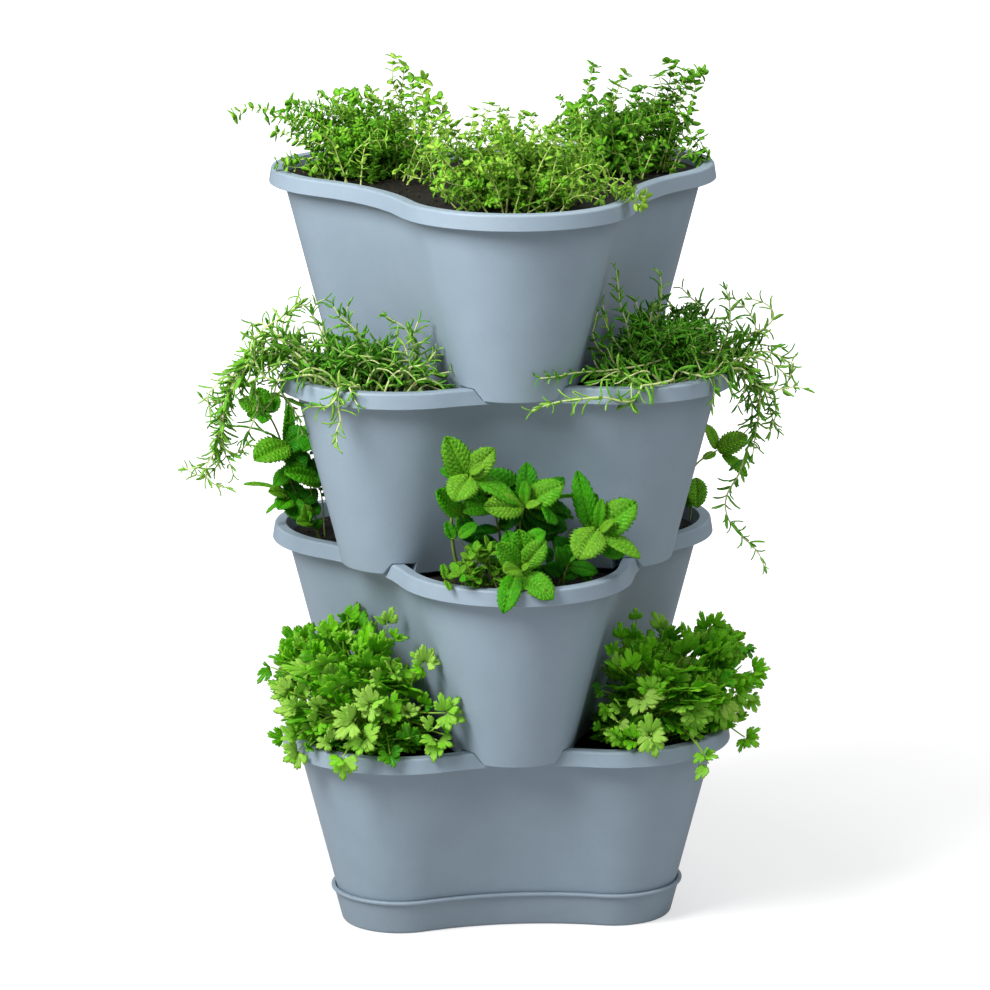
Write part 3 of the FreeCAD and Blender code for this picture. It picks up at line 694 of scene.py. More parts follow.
# Stems that the photograph shows, as pixels from the soil to the tip, then the depth (mm) of both ends.
THYME_STEMS = {
    "left": [
        ([(408, 165), (408, 130), (402, 103), (394, 86), (392, 72), (394, 58)], 30, 15),
        ([(398, 168), (396, 130), (399, 104), (403, 82), (404, 66)], 34, 18),
        ([(420, 160), (428, 125), (427, 105), (421, 92), (420, 82), (424, 80)], 20, 0),
        ([(412, 160), (416, 120), (412, 96), (410, 84), (414, 77)], 24, 10),
        ([(335, 168), (305, 135), (284, 118), (270, 110), (256, 107), (243, 109), (234, 114)], 40, 60),
        ([(338, 170), (312, 148), (296, 140), (285, 134), (276, 132)], 40, 50),
        ([(345, 168), (318, 128), (306, 112), (298, 105), (291, 102)], 60, 70),
        ([(350, 168), (330, 140), (314, 118), (318, 105), (325, 99)], 50, 50),
        ([(352, 168), (350, 130), (343, 104), (339, 95)], 50, 40),
        ([(360, 168), (354, 130), (351, 108), (350, 92)], 40, 30),
        ([(395, 160), (397, 125), (385, 102), (372, 98), (360, 99), (356, 97)], 30, 20),
        ([(372, 165), (378, 130), (373, 108), (372, 90)], 40, 40),
        ([(338, 168), (322, 158), (305, 159), (292, 160), (278, 164)], 20, 30),
        ([(330, 170), (318, 166), (311, 171)], 20, 10),
        ([(350, 170), (336, 152), (330, 140), (318, 134)], 0, -10),
        ([(344, 172), (350, 158), (366, 142), (378, 128)], 0, -5),
        ([(360, 168), (364, 150), (372, 142), (385, 140)], -5, -10),
        ([(440, 160), (446, 130), (444, 112), (440, 99)], 10, 0),
        ([(430, 160), (432, 128), (430, 108), (428, 100)], 10, 0),
        ([(372, 168), (330, 150), (304, 138), (290, 124), (284, 112)], 30, 30), ([(370, 168), (322, 140), (298, 122), (282, 116), (268, 118)], 50, 56),
        ([(380, 168), (340, 140), (320, 124), (304, 116), (296, 120)], 20, 20), ([(400, 165), (420, 140), (434, 126), (440, 114)], 10, 0),
        ([(404, 168), (426, 150), (438, 140), (446, 132)], 0, -10), ([(340, 172), (316, 164), (300, 168), (288, 166)], 30, 20),
    ],
    "front": [
        ([(498, 206), (478, 178), (452, 150), (430, 132), (414, 127)], -120, -118),
        ([(490, 208), (466, 184), (446, 162), (436, 148)], -130, -140),
        ([(470, 206), (448, 192), (430, 180), (412, 176), (400, 170)], -110, -105),
        ([(460, 204), (438, 186), (432, 168), (424, 150)], -110, -110),
        ([(506, 206), (508, 178), (504, 160), (494, 143)], -140, -150),
        ([(512, 208), (520, 188), (512, 166), (496, 163), (478, 167)], -140, -165),
        ([(527, 206), (534, 184), (543, 160), (556, 138)], -135, -150),
        ([(545, 209), (551, 186), (556, 160), (562, 142)], -140, -150),
        ([(518, 210), (546, 202), (560, 184), (576, 170), (594, 164), (604, 168)], -140, -165),
        ([(540, 210), (566, 202), (578, 174), (584, 148), (597, 135)], -130, -130),
        ([(556, 208), (562, 190), (580, 186), (604, 184), (622, 190), (636, 195), (646, 197)], -120, -158),
        ([(484, 200), (478, 160), (484, 124), (491, 104)], -110, -110),
        ([(478, 200), (468, 160), (470, 128), (474, 110)], -105, -100),
        ([(500, 200), (502, 160), (503, 130), (505, 118)], -110, -100),
        ([(528, 200), (530, 160), (534, 130), (531, 116)], -110, -95),
        ([(540, 200), (548, 160), (556, 140), (550, 128)], -110, -95),
        ([(566, 205), (574, 186), (578, 160), (582, 128), (578, 108)], -110, -80),
        ([(492, 208), (470, 190), (452, 184), (440, 178)], -140, -158),
        ([(560, 206), (572, 190), (580, 178), (592, 172)], -140, -160),
        ([(505, 208), (496, 188), (486, 172), (470, 160)], -145, -160),
        ([(480, 204), (462, 170), (446, 140), (436, 120)], -110, -104), ([(484, 204), (468, 165), (455, 135), (447, 122)], -100, -90),
        ([(476, 204), (452, 178), (438, 160), (429, 142)], -115, -110), ([(486, 202), (474, 165), (462, 140), (456, 125)], -105, -95),
        ([(482, 205), (460, 184), (444, 168), (440, 152)], -120, -120), ([(500, 206), (488, 170), (476, 148), (466, 136)], -120, -120),
        ([(560, 207), (580, 192), (600, 182), (612, 186), (624, 196)], -125, -150), ([(562, 207), (588, 190), (610, 178), (622, 182), (632, 188)], -120, -146),
        ([(556, 208), (580, 196), (604, 190), (622, 194), (634, 202), (642, 205)], -128, -164), ([(552, 206), (566, 170), (572, 150), (570, 132)], -115, -105),
        ([(556, 208), (572, 198), (588, 196), (600, 200)], -140, -158), ([(472, 206), (456, 198), (446, 190), (436, 190)], -130, -142),
    ],
    "right": [
        ([(612, 165), (594, 130), (587, 100), (589, 80), (594, 66)], 10, 0),
        ([(622, 165), (612, 130), (614, 100), (620, 84), (625, 73)], 20, 20),
        ([(625, 165), (616, 120), (610, 98), (614, 82)], 30, 30),
        ([(655, 160), (662, 125), (667, 95), (670, 76), (668, 62)], 50, 60),
        ([(660, 160), (672, 115), (684, 88), (692, 74), (702, 74)], 50, 66),
        ([(655, 162), (668, 110), (680, 88), (684, 70)], 50, 50),
        ([(662, 160), (672, 128), (680, 114), (688, 112)], 40, 40),
        ([(664, 162), (674, 145), (688, 138), (700, 146), (702, 157)], 40, 40),
        ([(668, 162), (680, 152), (692, 150), (700, 160), (706, 163)], 30, 36),
        ([(640, 162), (640, 125), (638, 105), (636, 92)], 50, 50),
        ([(650, 162), (655, 125), (654, 104), (656, 88)], 50, 50),
        ([(600, 165), (584, 135), (574, 118), (572, 108)], 10, -10),
        ([(608, 165), (600, 130), (596, 112), (598, 104)], 20, 10),
        ([(640, 166), (652, 152), (664, 144)], 0, -10),
        ([(634, 168), (624, 158), (610, 152), (602, 145)], 0, -14),
        ([(642, 160), (636, 142), (622, 128), (640, 122)], 20, 0),
        ([(655, 162), (676, 128), (686, 128), (690, 122)], 40, 46),
        ([(658, 162), (680, 104), (690, 84), (698, 70)], 46, 56), ([(656, 162), (670, 100), (676, 80), (672, 68)], 50, 56),
        ([(660, 162), (684, 120), (694, 100), (696, 84)], 46, 50), ([(664, 162), (682, 140), (696, 132), (700, 138)], 40, 40),
        ([(668, 164), (684, 156), (698, 154), (704, 150)], 30, 34), ([(655, 162), (660, 110), (662, 90), (658, 76)], 50, 50),
    ],
}
ROSEMARY_STEMS = {
    "right": [
        ([(668, 384), (672, 360), (660, 360), (640, 366), (608, 371), (580, 373), (556, 375), (540, 377)], -90, -155),
        ([(680, 384, -122), (668, 383, -138), (652, 392, -146), (635, 401, -152), (622, 402, -155), (604, 397, -157), (580, 399, -160), (556, 402, -163), (532, 411, -168)], 0, 0),
        ([(650, 385), (640, 368), (630, 348), (628, 328), (621, 306), (618, 288), (616, 271)], -100, -100),
        ([(640, 384, -118), (634, 378, -138), (631, 390, -149), (633, 403, -151)], 0, 0),
        ([(655, 380), (655, 355), (666, 335), (680, 330), (692, 350), (702, 374), (709, 392), (712, 406)], -100, -120),
        ([(655, 380), (654, 345), (658, 315), (661, 295), (660, 277)], -80, -70),
        ([(690, 370), (712, 345), (706, 320), (700, 305), (690, 296), (682, 288)], -80, -70),
        ([(700, 372), (724, 345), (730, 318), (729, 302), (725, 290)], -80, -80),
        ([(695, 372), (735, 340), (762, 330), (775, 316), (768, 304), (752, 299)], -80, -76),
        ([(700, 372), (738, 352), (758, 344), (770, 346), (782, 347)], -76, -70),
        ([(698, 375), (740, 358), (764, 360), (780, 370), (791, 378), (792, 362)], -90, -84),
        ([(698, 378), (738, 368), (758, 386), (778, 389), (792, 386), (804, 388)], -96, -90),
        ([(705, 376), (735, 366), (752, 386), (760, 408), (757, 426), (750, 440), (743, 460), (737, 480), (729, 486), (725, 500), (725, 512), (732, 526), (742, 537), (753, 546), (761, 555), (764, 567)], -84, -72),
        ([(705, 376), (736, 372), (750, 396), (752, 412), (748, 428), (742, 434)], -80, -74),
        ([(705, 374), (740, 362), (762, 384), (768, 404), (772, 420), (778, 430)], -76, -80),
        ([(700, 374), (742, 366), (760, 398), (757, 424), (754, 446), (753, 455)], -84, -84),
        ([(672, 380), (690, 360), (712, 352), (730, 364), (734, 372)], -100, -106),
        ([(640, 384), (612, 360), (598, 348), (590, 330), (588, 312)], -90, -104),
        ([(645, 384), (620, 350), (606, 325), (604, 306)], -80, -84),
        ([(650, 384), (640, 345), (640, 318), (636, 302)], -70, -64),
        ([(660, 384), (670, 345), (674, 320), (668, 300)], -70, -60),
        ([(668, 384), (650, 372), (630, 376), (614, 386)], -120, -142),
        ([(655, 382), (625, 372), (604, 378), (592, 388)], -116, -140),
        ([(668, 384), (676, 372), (690, 374), (702, 376)], -120, -136),
        ([(690, 376), (735, 372), (745, 384), (742, 396), (738, 404)], -90, -92),
        ([(690, 372), (730, 350), (752, 338), (760, 330)], -70, -60),
        ([(660, 386), (700, 372), (716, 360), (722, 344)], -104, -108), ([(650, 386), (690, 366), (700, 352), (712, 340)], -96, -98),
        ([(640, 386), (622, 372), (612, 360), (606, 348)], -104, -112), ([(650, 386), (636, 362), (622, 350), (612, 336)], -96, -100),
        ([(675, 384), (690, 350), (694, 330), (690, 314)], -84, -80), ([(680, 384), (708, 366), (722, 352), (726, 336)], -90, -88),
        ([(664, 386), (650, 350), (648, 330), (652, 312)], -84, -80), ([(690, 380), (716, 376), (728, 382), (734, 392)], -112, -116),
        ([(630, 386), (612, 378), (600, 370), (594, 360)], -108, -118), ([(650, 386), (664, 360), (680, 350), (684, 336)], -96, -96),
        ([(640, 386), (625, 376), (610, 372), (598, 376)], -114, -124), ([(680, 386), (700, 380), (716, 370), (724, 362)], -112, -112),
        ([(672, 386), (660, 372), (640, 358), (630, 344)], -100, -104), ([(684, 384), (702, 356), (706, 338), (716, 326)], -84, -80),
        ([(700, 380), (726, 362), (738, 346), (742, 330)], -84, -80), ([(690, 380), (724, 370), (744, 362), (756, 352)], -90, -84),
        ([(700, 374), (738, 346), (756, 330), (748, 312), (736, 300)], -80, -76), ([(700, 376), (742, 356), (772, 352), (790, 366), (786, 384)], -80, -84),
        ([(704, 376), (744, 370), (768, 392), (776, 412), (770, 432)], -84, -84),
    ],
    "left": [
        ([(345, 388), (322, 377), (302, 375), (282, 381), (264, 378), (256, 362), (250, 346), (262, 330), (280, 318), (292, 308), (304, 304)], -110, -90),
        ([(330, 382), (300, 350), (272, 338), (254, 348), (240, 366), (226, 386), (222, 408), (220, 432), (222, 450), (230, 462), (233, 476)], -90, -80),
        ([(330, 382), (298, 345), (268, 334), (248, 352), (232, 372), (215, 386), (206, 396), (210, 408), (216, 416)], -84, -76),
        ([(330, 382), (296, 352), (262, 350), (240, 376), (224, 402), (220, 430), (216, 450), (206, 464), (196, 468), (186, 469)], -96, -84),
        ([(330, 382), (298, 356), (258, 358), (232, 386), (222, 424), (212, 455), (203, 468), (206, 480), (216, 485), (227, 487)], -90, -90),
        ([(330, 382), (300, 350), (284, 334), (284, 318), (296, 306), (302, 298), (298, 296)], -80, -76),
        ([(340, 380), (326, 350), (320, 328), (312, 314), (316, 302), (325, 299)], -76, -70),
        ([(372, 388), (370, 362), (363, 342), (352, 326), (341, 318), (334, 307)], -110, -118),
        ([(372, 388), (368, 358), (358, 336), (346, 322), (348, 307)], -100, -110),
        ([(416, 384), (416, 358), (411, 340), (404, 326), (395, 321), (387, 316)], -100, -104),
        ([(420, 384), (420, 355), (414, 336), (418, 321)], -100, -100),
        ([(402, 388), (410, 368), (406, 350), (398, 336)], -112, -118),
        ([(420, 388), (402, 368), (384, 359), (362, 356), (346, 356), (332, 346)], -110, -130),
        ([(400, 388), (416, 376), (434, 374), (449, 372)], -112, -112),
        ([(400, 388), (424, 378), (436, 383), (446, 386)], -116, -116),
        ([(400, 386), (426, 364), (434, 356), (443, 354)], -100, -96),
        ([(372, 388), (350, 382), (342, 394), (338, 408), (342, 420), (338, 430), (336, 443)], -120, -150),
        ([(366, 388), (350, 384), (338, 396), (328, 406), (312, 407)], -120, -148),
        ([(366, 388), (352, 386), (350, 394), (357, 405)], -124, -146),
        ([(372, 386), (360, 366), (340, 352), (326, 340), (322, 326)], -90, -100),
        ([(360, 386), (330, 362), (306, 350), (292, 340)], -90, -96),
        ([(390, 386), (392, 362), (384, 348), (376, 342)], -100, -104),
        ([(340, 384), (300, 366), (284, 362), (270, 372)], -100, -100),
        ([(345, 384), (306, 362), (270, 356), (250, 368), (238, 384), (246, 398)], -90, -70),
        ([(330, 382), (290, 350), (270, 328), (254, 322), (248, 330)], -80, -60),
        ([(392, 388), (404, 372), (418, 366), (430, 366)], -118, -124), ([(400, 389), (416, 382), (430, 380), (440, 384)], -120, -126),
        ([(408, 388), (420, 370), (430, 360), (436, 352)], -105, -108), ([(380, 390), (392, 376), (404, 370), (412, 376)], -124, -132),
        ([(372, 389), (384, 372), (398, 362), (410, 360)], -116, -120), ([(360, 388), (372, 372), (386, 370), (396, 378)], -122, -132),
        ([(396, 388), (402, 360), (410, 348), (420, 342)], -108, -108), ([(384, 388), (376, 364), (384, 350), (396, 346)], -108, -108),
        ([(350, 388), (356, 368), (370, 360), (380, 364)], -116, -122), ([(340, 388), (336, 364), (346, 350), (356, 344)], -104, -100),
        ([(410, 389), (424, 386), (434, 388), (442, 390)], -118, -120), ([(345, 390), (330, 376), (312, 368), (300, 372)], -112, -116),
        ([(325, 382), (288, 360), (262, 368), (254, 386), (258, 404), (254, 420), (249, 432), (243, 448)], -90, -76),
        ([(330, 384), (300, 368), (282, 372), (276, 386), (272, 400), (264, 410)], -84, -70),
        ([(335, 386), (306, 374), (290, 378), (284, 392), (292, 408), (300, 422), (303, 434)], -80, -66),
        ([(330, 382), (290, 352), (256, 354), (236, 380), (226, 410), (219, 440), (222, 456), (216, 470), (204, 478), (194, 474), (187, 469)], -86, -80),
        ([(330, 382), (292, 352), (254, 352), (232, 382), (222, 412), (221, 440), (230, 456), (242, 452), (246, 446)], -90, -84),
        ([(330, 382), (286, 356), (246, 372), (226, 396), (208, 404), (202, 397)], -80, -74),
    ],
    "back": [],
}
# Mint leaves: base pixel, tip pixel, width in pixels, depth of the base, lean of the tip towards the viewer in mm, roll, tint.
MINT_LEAVES = {
    "front": [
        (466, 478, 445, 436, 27, -152, 2, -8, 0.75), (467, 477, 495, 448, 24, -152, 8, 18, 0.9), (470, 474, 486, 463, 12, -156, 4, 0, 1.0),
        (469, 477, 454, 502, 29, -156, 22, 0, 0.85), (470, 480, 519, 506, 22, -154, 6, -25, 0.6), (464, 480, 440, 470, 18, -146, -6, 20, 0.35),
        (459, 513, 435, 491, 25, -146, 6, 0, 0.45), (459, 509, 500, 505, 19, -144, -6, 10, 0.5), (459, 513, 471, 542, 18, -142, -4, 0, 0.1),
        (459, 537, 478, 524, 13, -150, 4, 0, 0.55), (454, 540, 446, 521, 12, -144, -4, 0, 0.3),
        (525, 506, 527, 462, 21, -150, -6, 10, 0.3), (525, 505, 526, 480, 12, -156, 4, -20, 0.6), (528, 503, 564, 484, 26, -154, 8, 15, 0.7),
        (527, 510, 571, 514, 24, -142, -8, 0, 0.15), (523, 508, 483, 507, 24, -158, 12, -10, 0.85), (521, 502, 487, 471, 28, -142, -10, 0, 0.35),
        (526, 507, 541, 503, 9, -160, 6, 0, 1.0), (524, 513, 548, 524, 18, -144, -8, 0, 0.05), (523, 511, 500, 529, 17, -142, -10, 0, 0.05),
        (545, 498, 564, 478, 15, -134, -8, 0, 0.2), (530, 512, 566, 530, 22, -134, -10, 0, 0.0), (522, 515, 552, 540, 20, -136, -4, 0, 0.05),
        (593, 531, 577, 470, 21, -150, -4, -12, 0.4), (586, 516, 597, 494, 14, -146, -2, 0, 0.5), (600, 531, 637, 502, 31, -154, 6, 12, 0.7),
        (598, 529, 602, 498, 12, -156, 2, 0, 0.6), (596, 530, 578, 560, 33, -158, 22, 0, 0.9), (598, 534, 640, 559, 19, -158, 12, -20, 0.8),
        (597, 540, 624, 556, 20, -150, 2, 10, 0.45), (597, 529, 586, 508, 14, -148, -4, 0, 0.4), (600, 532, 615, 520, 10, -160, 8, 0, 0.9),
        (567, 566, 556, 547, 13, -158, 2, 10, 0.3), (568, 566, 598, 572, 14, -156, 2, 20, 0.2), (560, 552, 580, 540, 16, -140, -6, 0, 0.05),
        (519, 569, 496, 544, 25, -176, 6, 0, 0.6), (520, 566, 506, 531, 24, -168, -6, 0, 0.45), (523, 567, 546, 540, 22, -176, 6, 20, 0.75),
        (526, 562, 519, 529, 26, -170, 0, -10, 0.6), (528, 545, 546, 532, 18, -172, 2, 0, 0.55),
        (516, 573, 503, 614, 21, -184, 24, 0, 0.5), (523, 575, 553, 600, 25, -184, 20, -6, 0.65), (519, 571, 503, 572, 19, -186, 10, 0, 0.9), (522, 570, 530, 565, 8, -186, 4, 0, 1.0),
        (466, 546, 495, 563, 18, -150, 2, 0, 0.05), (480, 556, 500, 548, 14, -146, 0, 0, 0.1),
        (560, 574, 543, 567, 15, -148, 2, 0, 0.1), (564, 576, 582, 572, 15, -150, 2, 0, 0.15), (556, 578, 559, 560, 13, -146, 0, 0, 0.1),
        (570, 572, 592, 565, 13, -152, 2, 0, 0.2), (548, 576, 536, 568, 13, -150, 0, 0, 0.05), (563, 560, 571, 544, 12, -144, 0, 0, 0.15),
        (575, 566, 588, 577, 12, -150, 4, 0, 0.1), (552, 560, 541, 549, 14, -144, 0, 0, 0.0), (566, 552, 556, 536, 13, -142, 0, 0, 0.0),
    ],
    "left": [
        (288, 446, 254, 461, 32, 44, 8, 6, 0.7), (280, 440, 224, 427, 11, 46, 6, 60, 0.75), (285, 446, 308, 432, 28, 50, -8, 0, 0.1),
        (284, 442, 288, 404, 15, 52, -4, 50, 0.5), (266, 413, 258, 387, 21, 50, 0, 0, 0.6), (268, 412, 278, 394, 17, 54, -6, 0, 0.5),
        (264, 412, 238, 401, 19, 46, 4, 0, 0.65), (266, 414, 262, 424, 14, 42, 8, 0, 0.4), (318, 480, 284, 474, 33, 46, 6, 10, 0.55),
        (288, 448, 304, 470, 24, 50, 0, 0, 0.1), (287, 494, 243, 485, 12, 44, 6, 50, 0.8), (286, 494, 268, 492, 14, 44, 8, 0, 0.85),
        (290, 470, 274, 486, 16, 46, 2, 0, 0.45), (285, 488, 297, 462, 22, 56, -6, 0, 0.1), (292, 500, 300, 520, 22, 50, 4, 0, 0.3),
        (290, 500, 278, 510, 20, 46, 6, 0, 0.5), (290, 498, 266, 514, 10, 42, 4, 50, 0.6), (315, 492, 300, 505, 20, 56, -4, 0, 0.15),
        (310, 520, 304, 504, 13, 30, 2, 0, 0.9), (312, 524, 296, 523, 15, 30, 4, 10, 0.75), (310, 520, 312, 512, 10, 30, 4, 0, 0.7),
        (314, 528, 322, 520, 10, 34, 0, 0, 0.3), (306, 452, 302, 470, 14, 60, 0, 0, 0.1),
        (306, 499, 283, 487, 20, 54, 0, 0, 0.12), (303, 506, 317, 489, 15, 58, -2, 10, 0.05), (312, 474, 322, 456, 15, 60, 0, 0, 0.05),
        (306, 504, 320, 514, 15, 54, 0, 0, 0.15), (270, 410, 247, 416, 18, 52, 0, 10, 0.35), (296, 470, 312, 462, 16, 60, -2, 0, 0.1),
    ],
    # painted light: the right plant's leaves have high tints, for the light that shines through them
    "right": [
        (716, 449, 705, 424, 13, 66, 0, 20, 0.9), (718, 451, 748, 436, 22, 62, 4, 5, 0.85), (722, 455, 747, 477, 14, 60, 6, -20, 0.7),
        (716, 453, 702, 459, 8, 62, 4, 0, 0.7), (696, 478, 697, 508, 20, 40, 10, 0, 0.75), (690, 480, 688, 505, 16, 46, 0, 0, 0.4),
    ],
}
MINT_STEMS = {
    "front": [([(470, 575), (457, 565), (453, 545), (451, 520), (458, 498), (467, 478)], -128, -152, 2.0),
              ([(515, 572), (521, 548), (520, 525), (524, 507)], -130, -152, 1.5),
              ([(560, 578), (566, 566), (582, 560), (592, 548), (597, 532)], -130, -154, 1.6),
              ([(562, 585), (565, 575), (568, 566)], -150, -156, 1.5),
              ([(520, 584), (516, 578), (520, 570)], -150, -184, 1.5),
              ([(555, 575), (562, 545), (571, 529)], -130, -140, 0.9),
              ([(475, 560), (464, 546), (452, 538)], -140, -150, 0.8)],
    "left": [([(320, 535), (302, 505), (290, 480), (283, 448), (276, 428), (267, 412)], 50, 50, 1.5),
             ([(325, 530), (322, 500), (318, 478)], 50, 50, 1.0), ([(318, 478), (306, 464), (296, 456)], 50, 52, 1.0),
             ([(322, 538), (312, 525), (306, 512)], 34, 30, 0.9)],
    "right": [([(680, 500), (692, 470), (704, 458), (717, 450)], 50, 62, 1.2), ([(690, 520), (694, 490), (696, 478)], 40, 42, 1.0)],
}
# Parsley leaves: node pixel, depth, then tip pixels and widths of the leaflets, then tint.
PARSLEY_LEAVES = {
    "right": [
        (636, 621, -84, [(635, 607, 16)], 0.6), (663, 630, -82, [(652, 611, 18), (668, 620, 14)], 0.7), (621, 641, -98, [(620, 621, 18)], 0.4),
        (635, 641, -96, [(634, 622, 19), (645, 636, 10)], 0.4), (668, 640, -76, [(684, 626, 18), (655, 627, 12), (672, 626, 12)], 0.2),
        (690, 641, -80, [(681, 621, 13), (700, 632, 12)], 0.55), (707, 631, -74, [(700, 610, 16)], 0.3), (713, 628, -74, [(722, 611, 22), (731, 630, 14)], 0.45),
        (700, 646, -70, [(694, 627, 11), (705, 640, 12)], 0.35), (717, 650, -86, [(730, 635, 19), (733, 657, 21), (703, 648, 18), (706, 663, 16)], 0.5),
        (745, 646, -76, [(757, 649, 8), (740, 655, 12), (752, 659, 14)], 0.15), (752, 671, -88, [(765, 658, 20), (771, 669, 20), (762, 689, 24), (747, 684, 16)], 0.45),
        (735, 692, -94, [(746, 679, 20), (757, 700, 22), (743, 718, 20), (728, 690, 12)], 0.6), (750, 697, -90, [(756, 713, 18), (760, 698, 14)], 0.5),
        (722, 700, -104, [(738, 723, 22), (724, 731, 23), (733, 694, 18)], 0.7), (745, 737, -96, [(761, 728, 13), (759, 747, 20), (739, 753, 13)], 0.55),
        (704, 753, -142, [(709, 748, 9), (719, 758, 13), (693, 764, 13)], 0.6), (708, 764, -144, [(695, 781, 14)], 0.65),
        (693, 712, -132, [(693, 739, 25), (708, 724, 18), (681, 722, 18)], 0.8), (689, 705, -126, [(714, 716, 23), (680, 699, 18), (690, 690, 16)], 0.65),
        (651, 735, -152, [(639, 753, 19), (656, 758, 23), (668, 741, 19)], 1.0), (650, 735, -146, [(648, 712, 27), (635, 727, 14), (664, 728, 14)], 0.8),
        (641, 698, -138, [(632, 716, 22), (656, 708, 20), (667, 697, 20)], 0.95), (652, 692, -132, [(636, 677, 22), (668, 683, 22), (655, 675, 18)], 0.6),
        (662, 679, -122, [(654, 659, 22), (674, 663, 20), (676, 678, 18)], 0.5), (630, 669, -126, [(626, 647, 24), (642, 655, 18)], 0.5),
        (619, 668, -124, [(603, 661, 17), (615, 650, 14)], 0.6), (607, 705, -124, [(600, 712, 15), (604, 722, 16)], 0.6),
        (620, 706, -134, [(608, 712, 15), (614, 699, 13)], 0.75), (619, 722, -140, [(610, 718, 16), (630, 729, 15)], 0.8),
        (618, 736, -142, [(603, 734, 17), (617, 726, 16), (612, 747, 13)], 0.55), (632, 739, -142, [(634, 722, 22), (628, 751, 16)], 0.5),
        (602, 690, -110, [(590, 685, 13), (596, 698, 12)], 0.1), (676, 702, -112, [(674, 686, 22), (664, 712, 20)], 0.3),
        (668, 716, -118, [(668, 731, 22), (682, 728, 18)], 0.15), (700, 690, -96, [(697, 674, 18), (712, 672, 16)], 0.5),
        (720, 690, -92, [(718, 668, 24), (706, 690, 16)], 0.6), (690, 674, -90, [(683, 662, 16), (700, 668, 16)], 0.25),
        (640, 660, -110, [(640, 642, 20), (652, 650, 16)], 0.35), (655, 650, -96, [(646, 636, 16), (668, 648, 16)], 0.25),
        (680, 655, -84, [(690, 645, 16), (676, 643, 16)], 0.2), (612, 655, -108, [(604, 645, 16), (618, 640, 14)], 0.35),
        (705, 712, -110, [(716, 704, 18), (712, 722, 16)], 0.5), (600, 730, -128, [(594, 722, 12)], 0.15),
    ],
    "left": [
        (347, 620, -76, [(360, 603, 18), (336, 614, 10), (359, 619, 9)], 0.3), (388, 625, -78, [(393, 606, 19), (373, 616, 9)], 0.75),
        (392, 638, -90, [(398, 628, 14), (410, 638, 10)], 0.55), (330, 634, -80, [(331, 613, 20), (339, 626, 16), (314, 628, 18)], 0.6),
        (306, 640, -76, [(305, 624, 15)], 0.35), (302, 650, -78, [(294, 633, 15), (305, 640, 12)], 0.4), (343, 642, -88, [(331, 632, 14), (354, 631, 16), (343, 630, 14)], 0.6),
        (378, 648, -96, [(370, 632, 17), (384, 629, 18), (392, 638, 14)], 0.65), (360, 655, -96, [(351, 645, 15), (361, 635, 18), (374, 648, 16)], 0.6),
        (425, 663, -128, [(422, 644, 22), (410, 652, 19), (442, 662, 21), (434, 648, 18)], 0.85), (424, 668, -126, [(409, 671, 15), (417, 680, 12)], 0.6),
        (393, 672, -124, [(384, 661, 18), (394, 660, 16), (403, 666, 16), (402, 681, 15)], 0.8), (382, 681, -126, [(369, 671, 20), (370, 687, 18)], 0.9),
        (333, 676, -110, [(329, 661, 20), (345, 661, 17), (349, 676, 16), (319, 670, 16)], 0.75), (312, 672, -96, [(295, 659, 20), (279, 666, 18), (284, 678, 16)], 0.75),
        (290, 692, -92, [(268, 685, 19), (270, 699, 18), (279, 677, 19)], 0.9), (271, 667, -76, [(257, 684, 15), (262, 664, 12)], 0.15),
        (288, 661, -76, [(285, 646, 12), (267, 656, 10)], 0.4), (302, 694, -104, [(298, 678, 20), (312, 684, 18)], 0.8), (300, 708, -104, [(273, 712, 22), (283, 701, 20), (300, 698, 16)], 0.85),
        (320, 706, -116, [(319, 695, 18), (306, 703, 17)], 0.95), (298, 734, -104, [(279, 727, 22), (280, 740, 18), (298, 720, 20)], 0.7), (286, 740, -90, [(267, 733, 22)], 0.3),
        (299, 750, -106, [(281, 746, 20), (283, 762, 20), (297, 770, 22)], 0.75), (330, 742, -130, [(316, 748, 20), (328, 727, 18)], 0.75),
        (355, 720, -146, [(331, 712, 22), (336, 740, 32), (345, 703, 18)], 0.9), (371, 705, -142, [(352, 689, 19), (368, 684, 22), (350, 706, 18), (372, 723, 22), (386, 700, 22)], 1.0),
        (364, 738, -148, [(343, 747, 20), (381, 727, 22), (358, 757, 23), (374, 751, 18)], 0.75), (390, 715, -134, [(402, 719, 22), (396, 690, 22), (385, 724, 24)], 0.45),
        (407, 713, -132, [(410, 702, 18), (421, 708, 16), (400, 716, 16)], 0.95), (433, 728, -140, [(420, 717, 17), (440, 728, 16)], 0.9), (437, 740, -142, [(419, 743, 20), (433, 763, 22), (453, 747, 21)], 0.65),
        (445, 713, -140, [(440, 692, 20), (461, 697, 22), (466, 722, 22), (450, 731, 24)], 0.75), (424, 706, -122, [(427, 691, 17), (434, 706, 15)], 0.2),
        (410, 742, -130, [(405, 722, 27), (420, 735, 18)], 0.2), (343, 757, -152, [(329, 766, 20), (343, 781, 23), (357, 771, 21)], 0.7),
        (390, 754, -146, [(377, 761, 18), (394, 768, 19), (404, 749, 15)], 0.2), (350, 668, -96, [(360, 656, 18), (342, 655, 16)], 0.35), (318, 654, -88, [(312, 642, 18), (324, 640, 16)], 0.5),
        (404, 688, -116, [(410, 676, 18), (398, 694, 18)], 0.4), (318, 722, -116, [(306, 716, 18), (322, 734, 18)], 0.7), (445, 735, -124, [(450, 728, 16)], 0.2),
        (348, 690, -110, [(342, 680, 18), (358, 682, 14)], 0.3), (310, 745, -112, [(312, 738, 14), (306, 752, 14)], 0.4),
        (324, 692, -106, [(306, 686, 20), (324, 674, 21), (339, 689, 18)], 0.65), (309, 678, -98, [(300, 664, 17), (315, 663, 17)], 0.6),
        (341, 703, -114, [(330, 692, 19), (350, 693, 17)], 0.35), (376, 668, -104, [(366, 658, 18), (384, 656, 16)], 0.3),
    ],
}


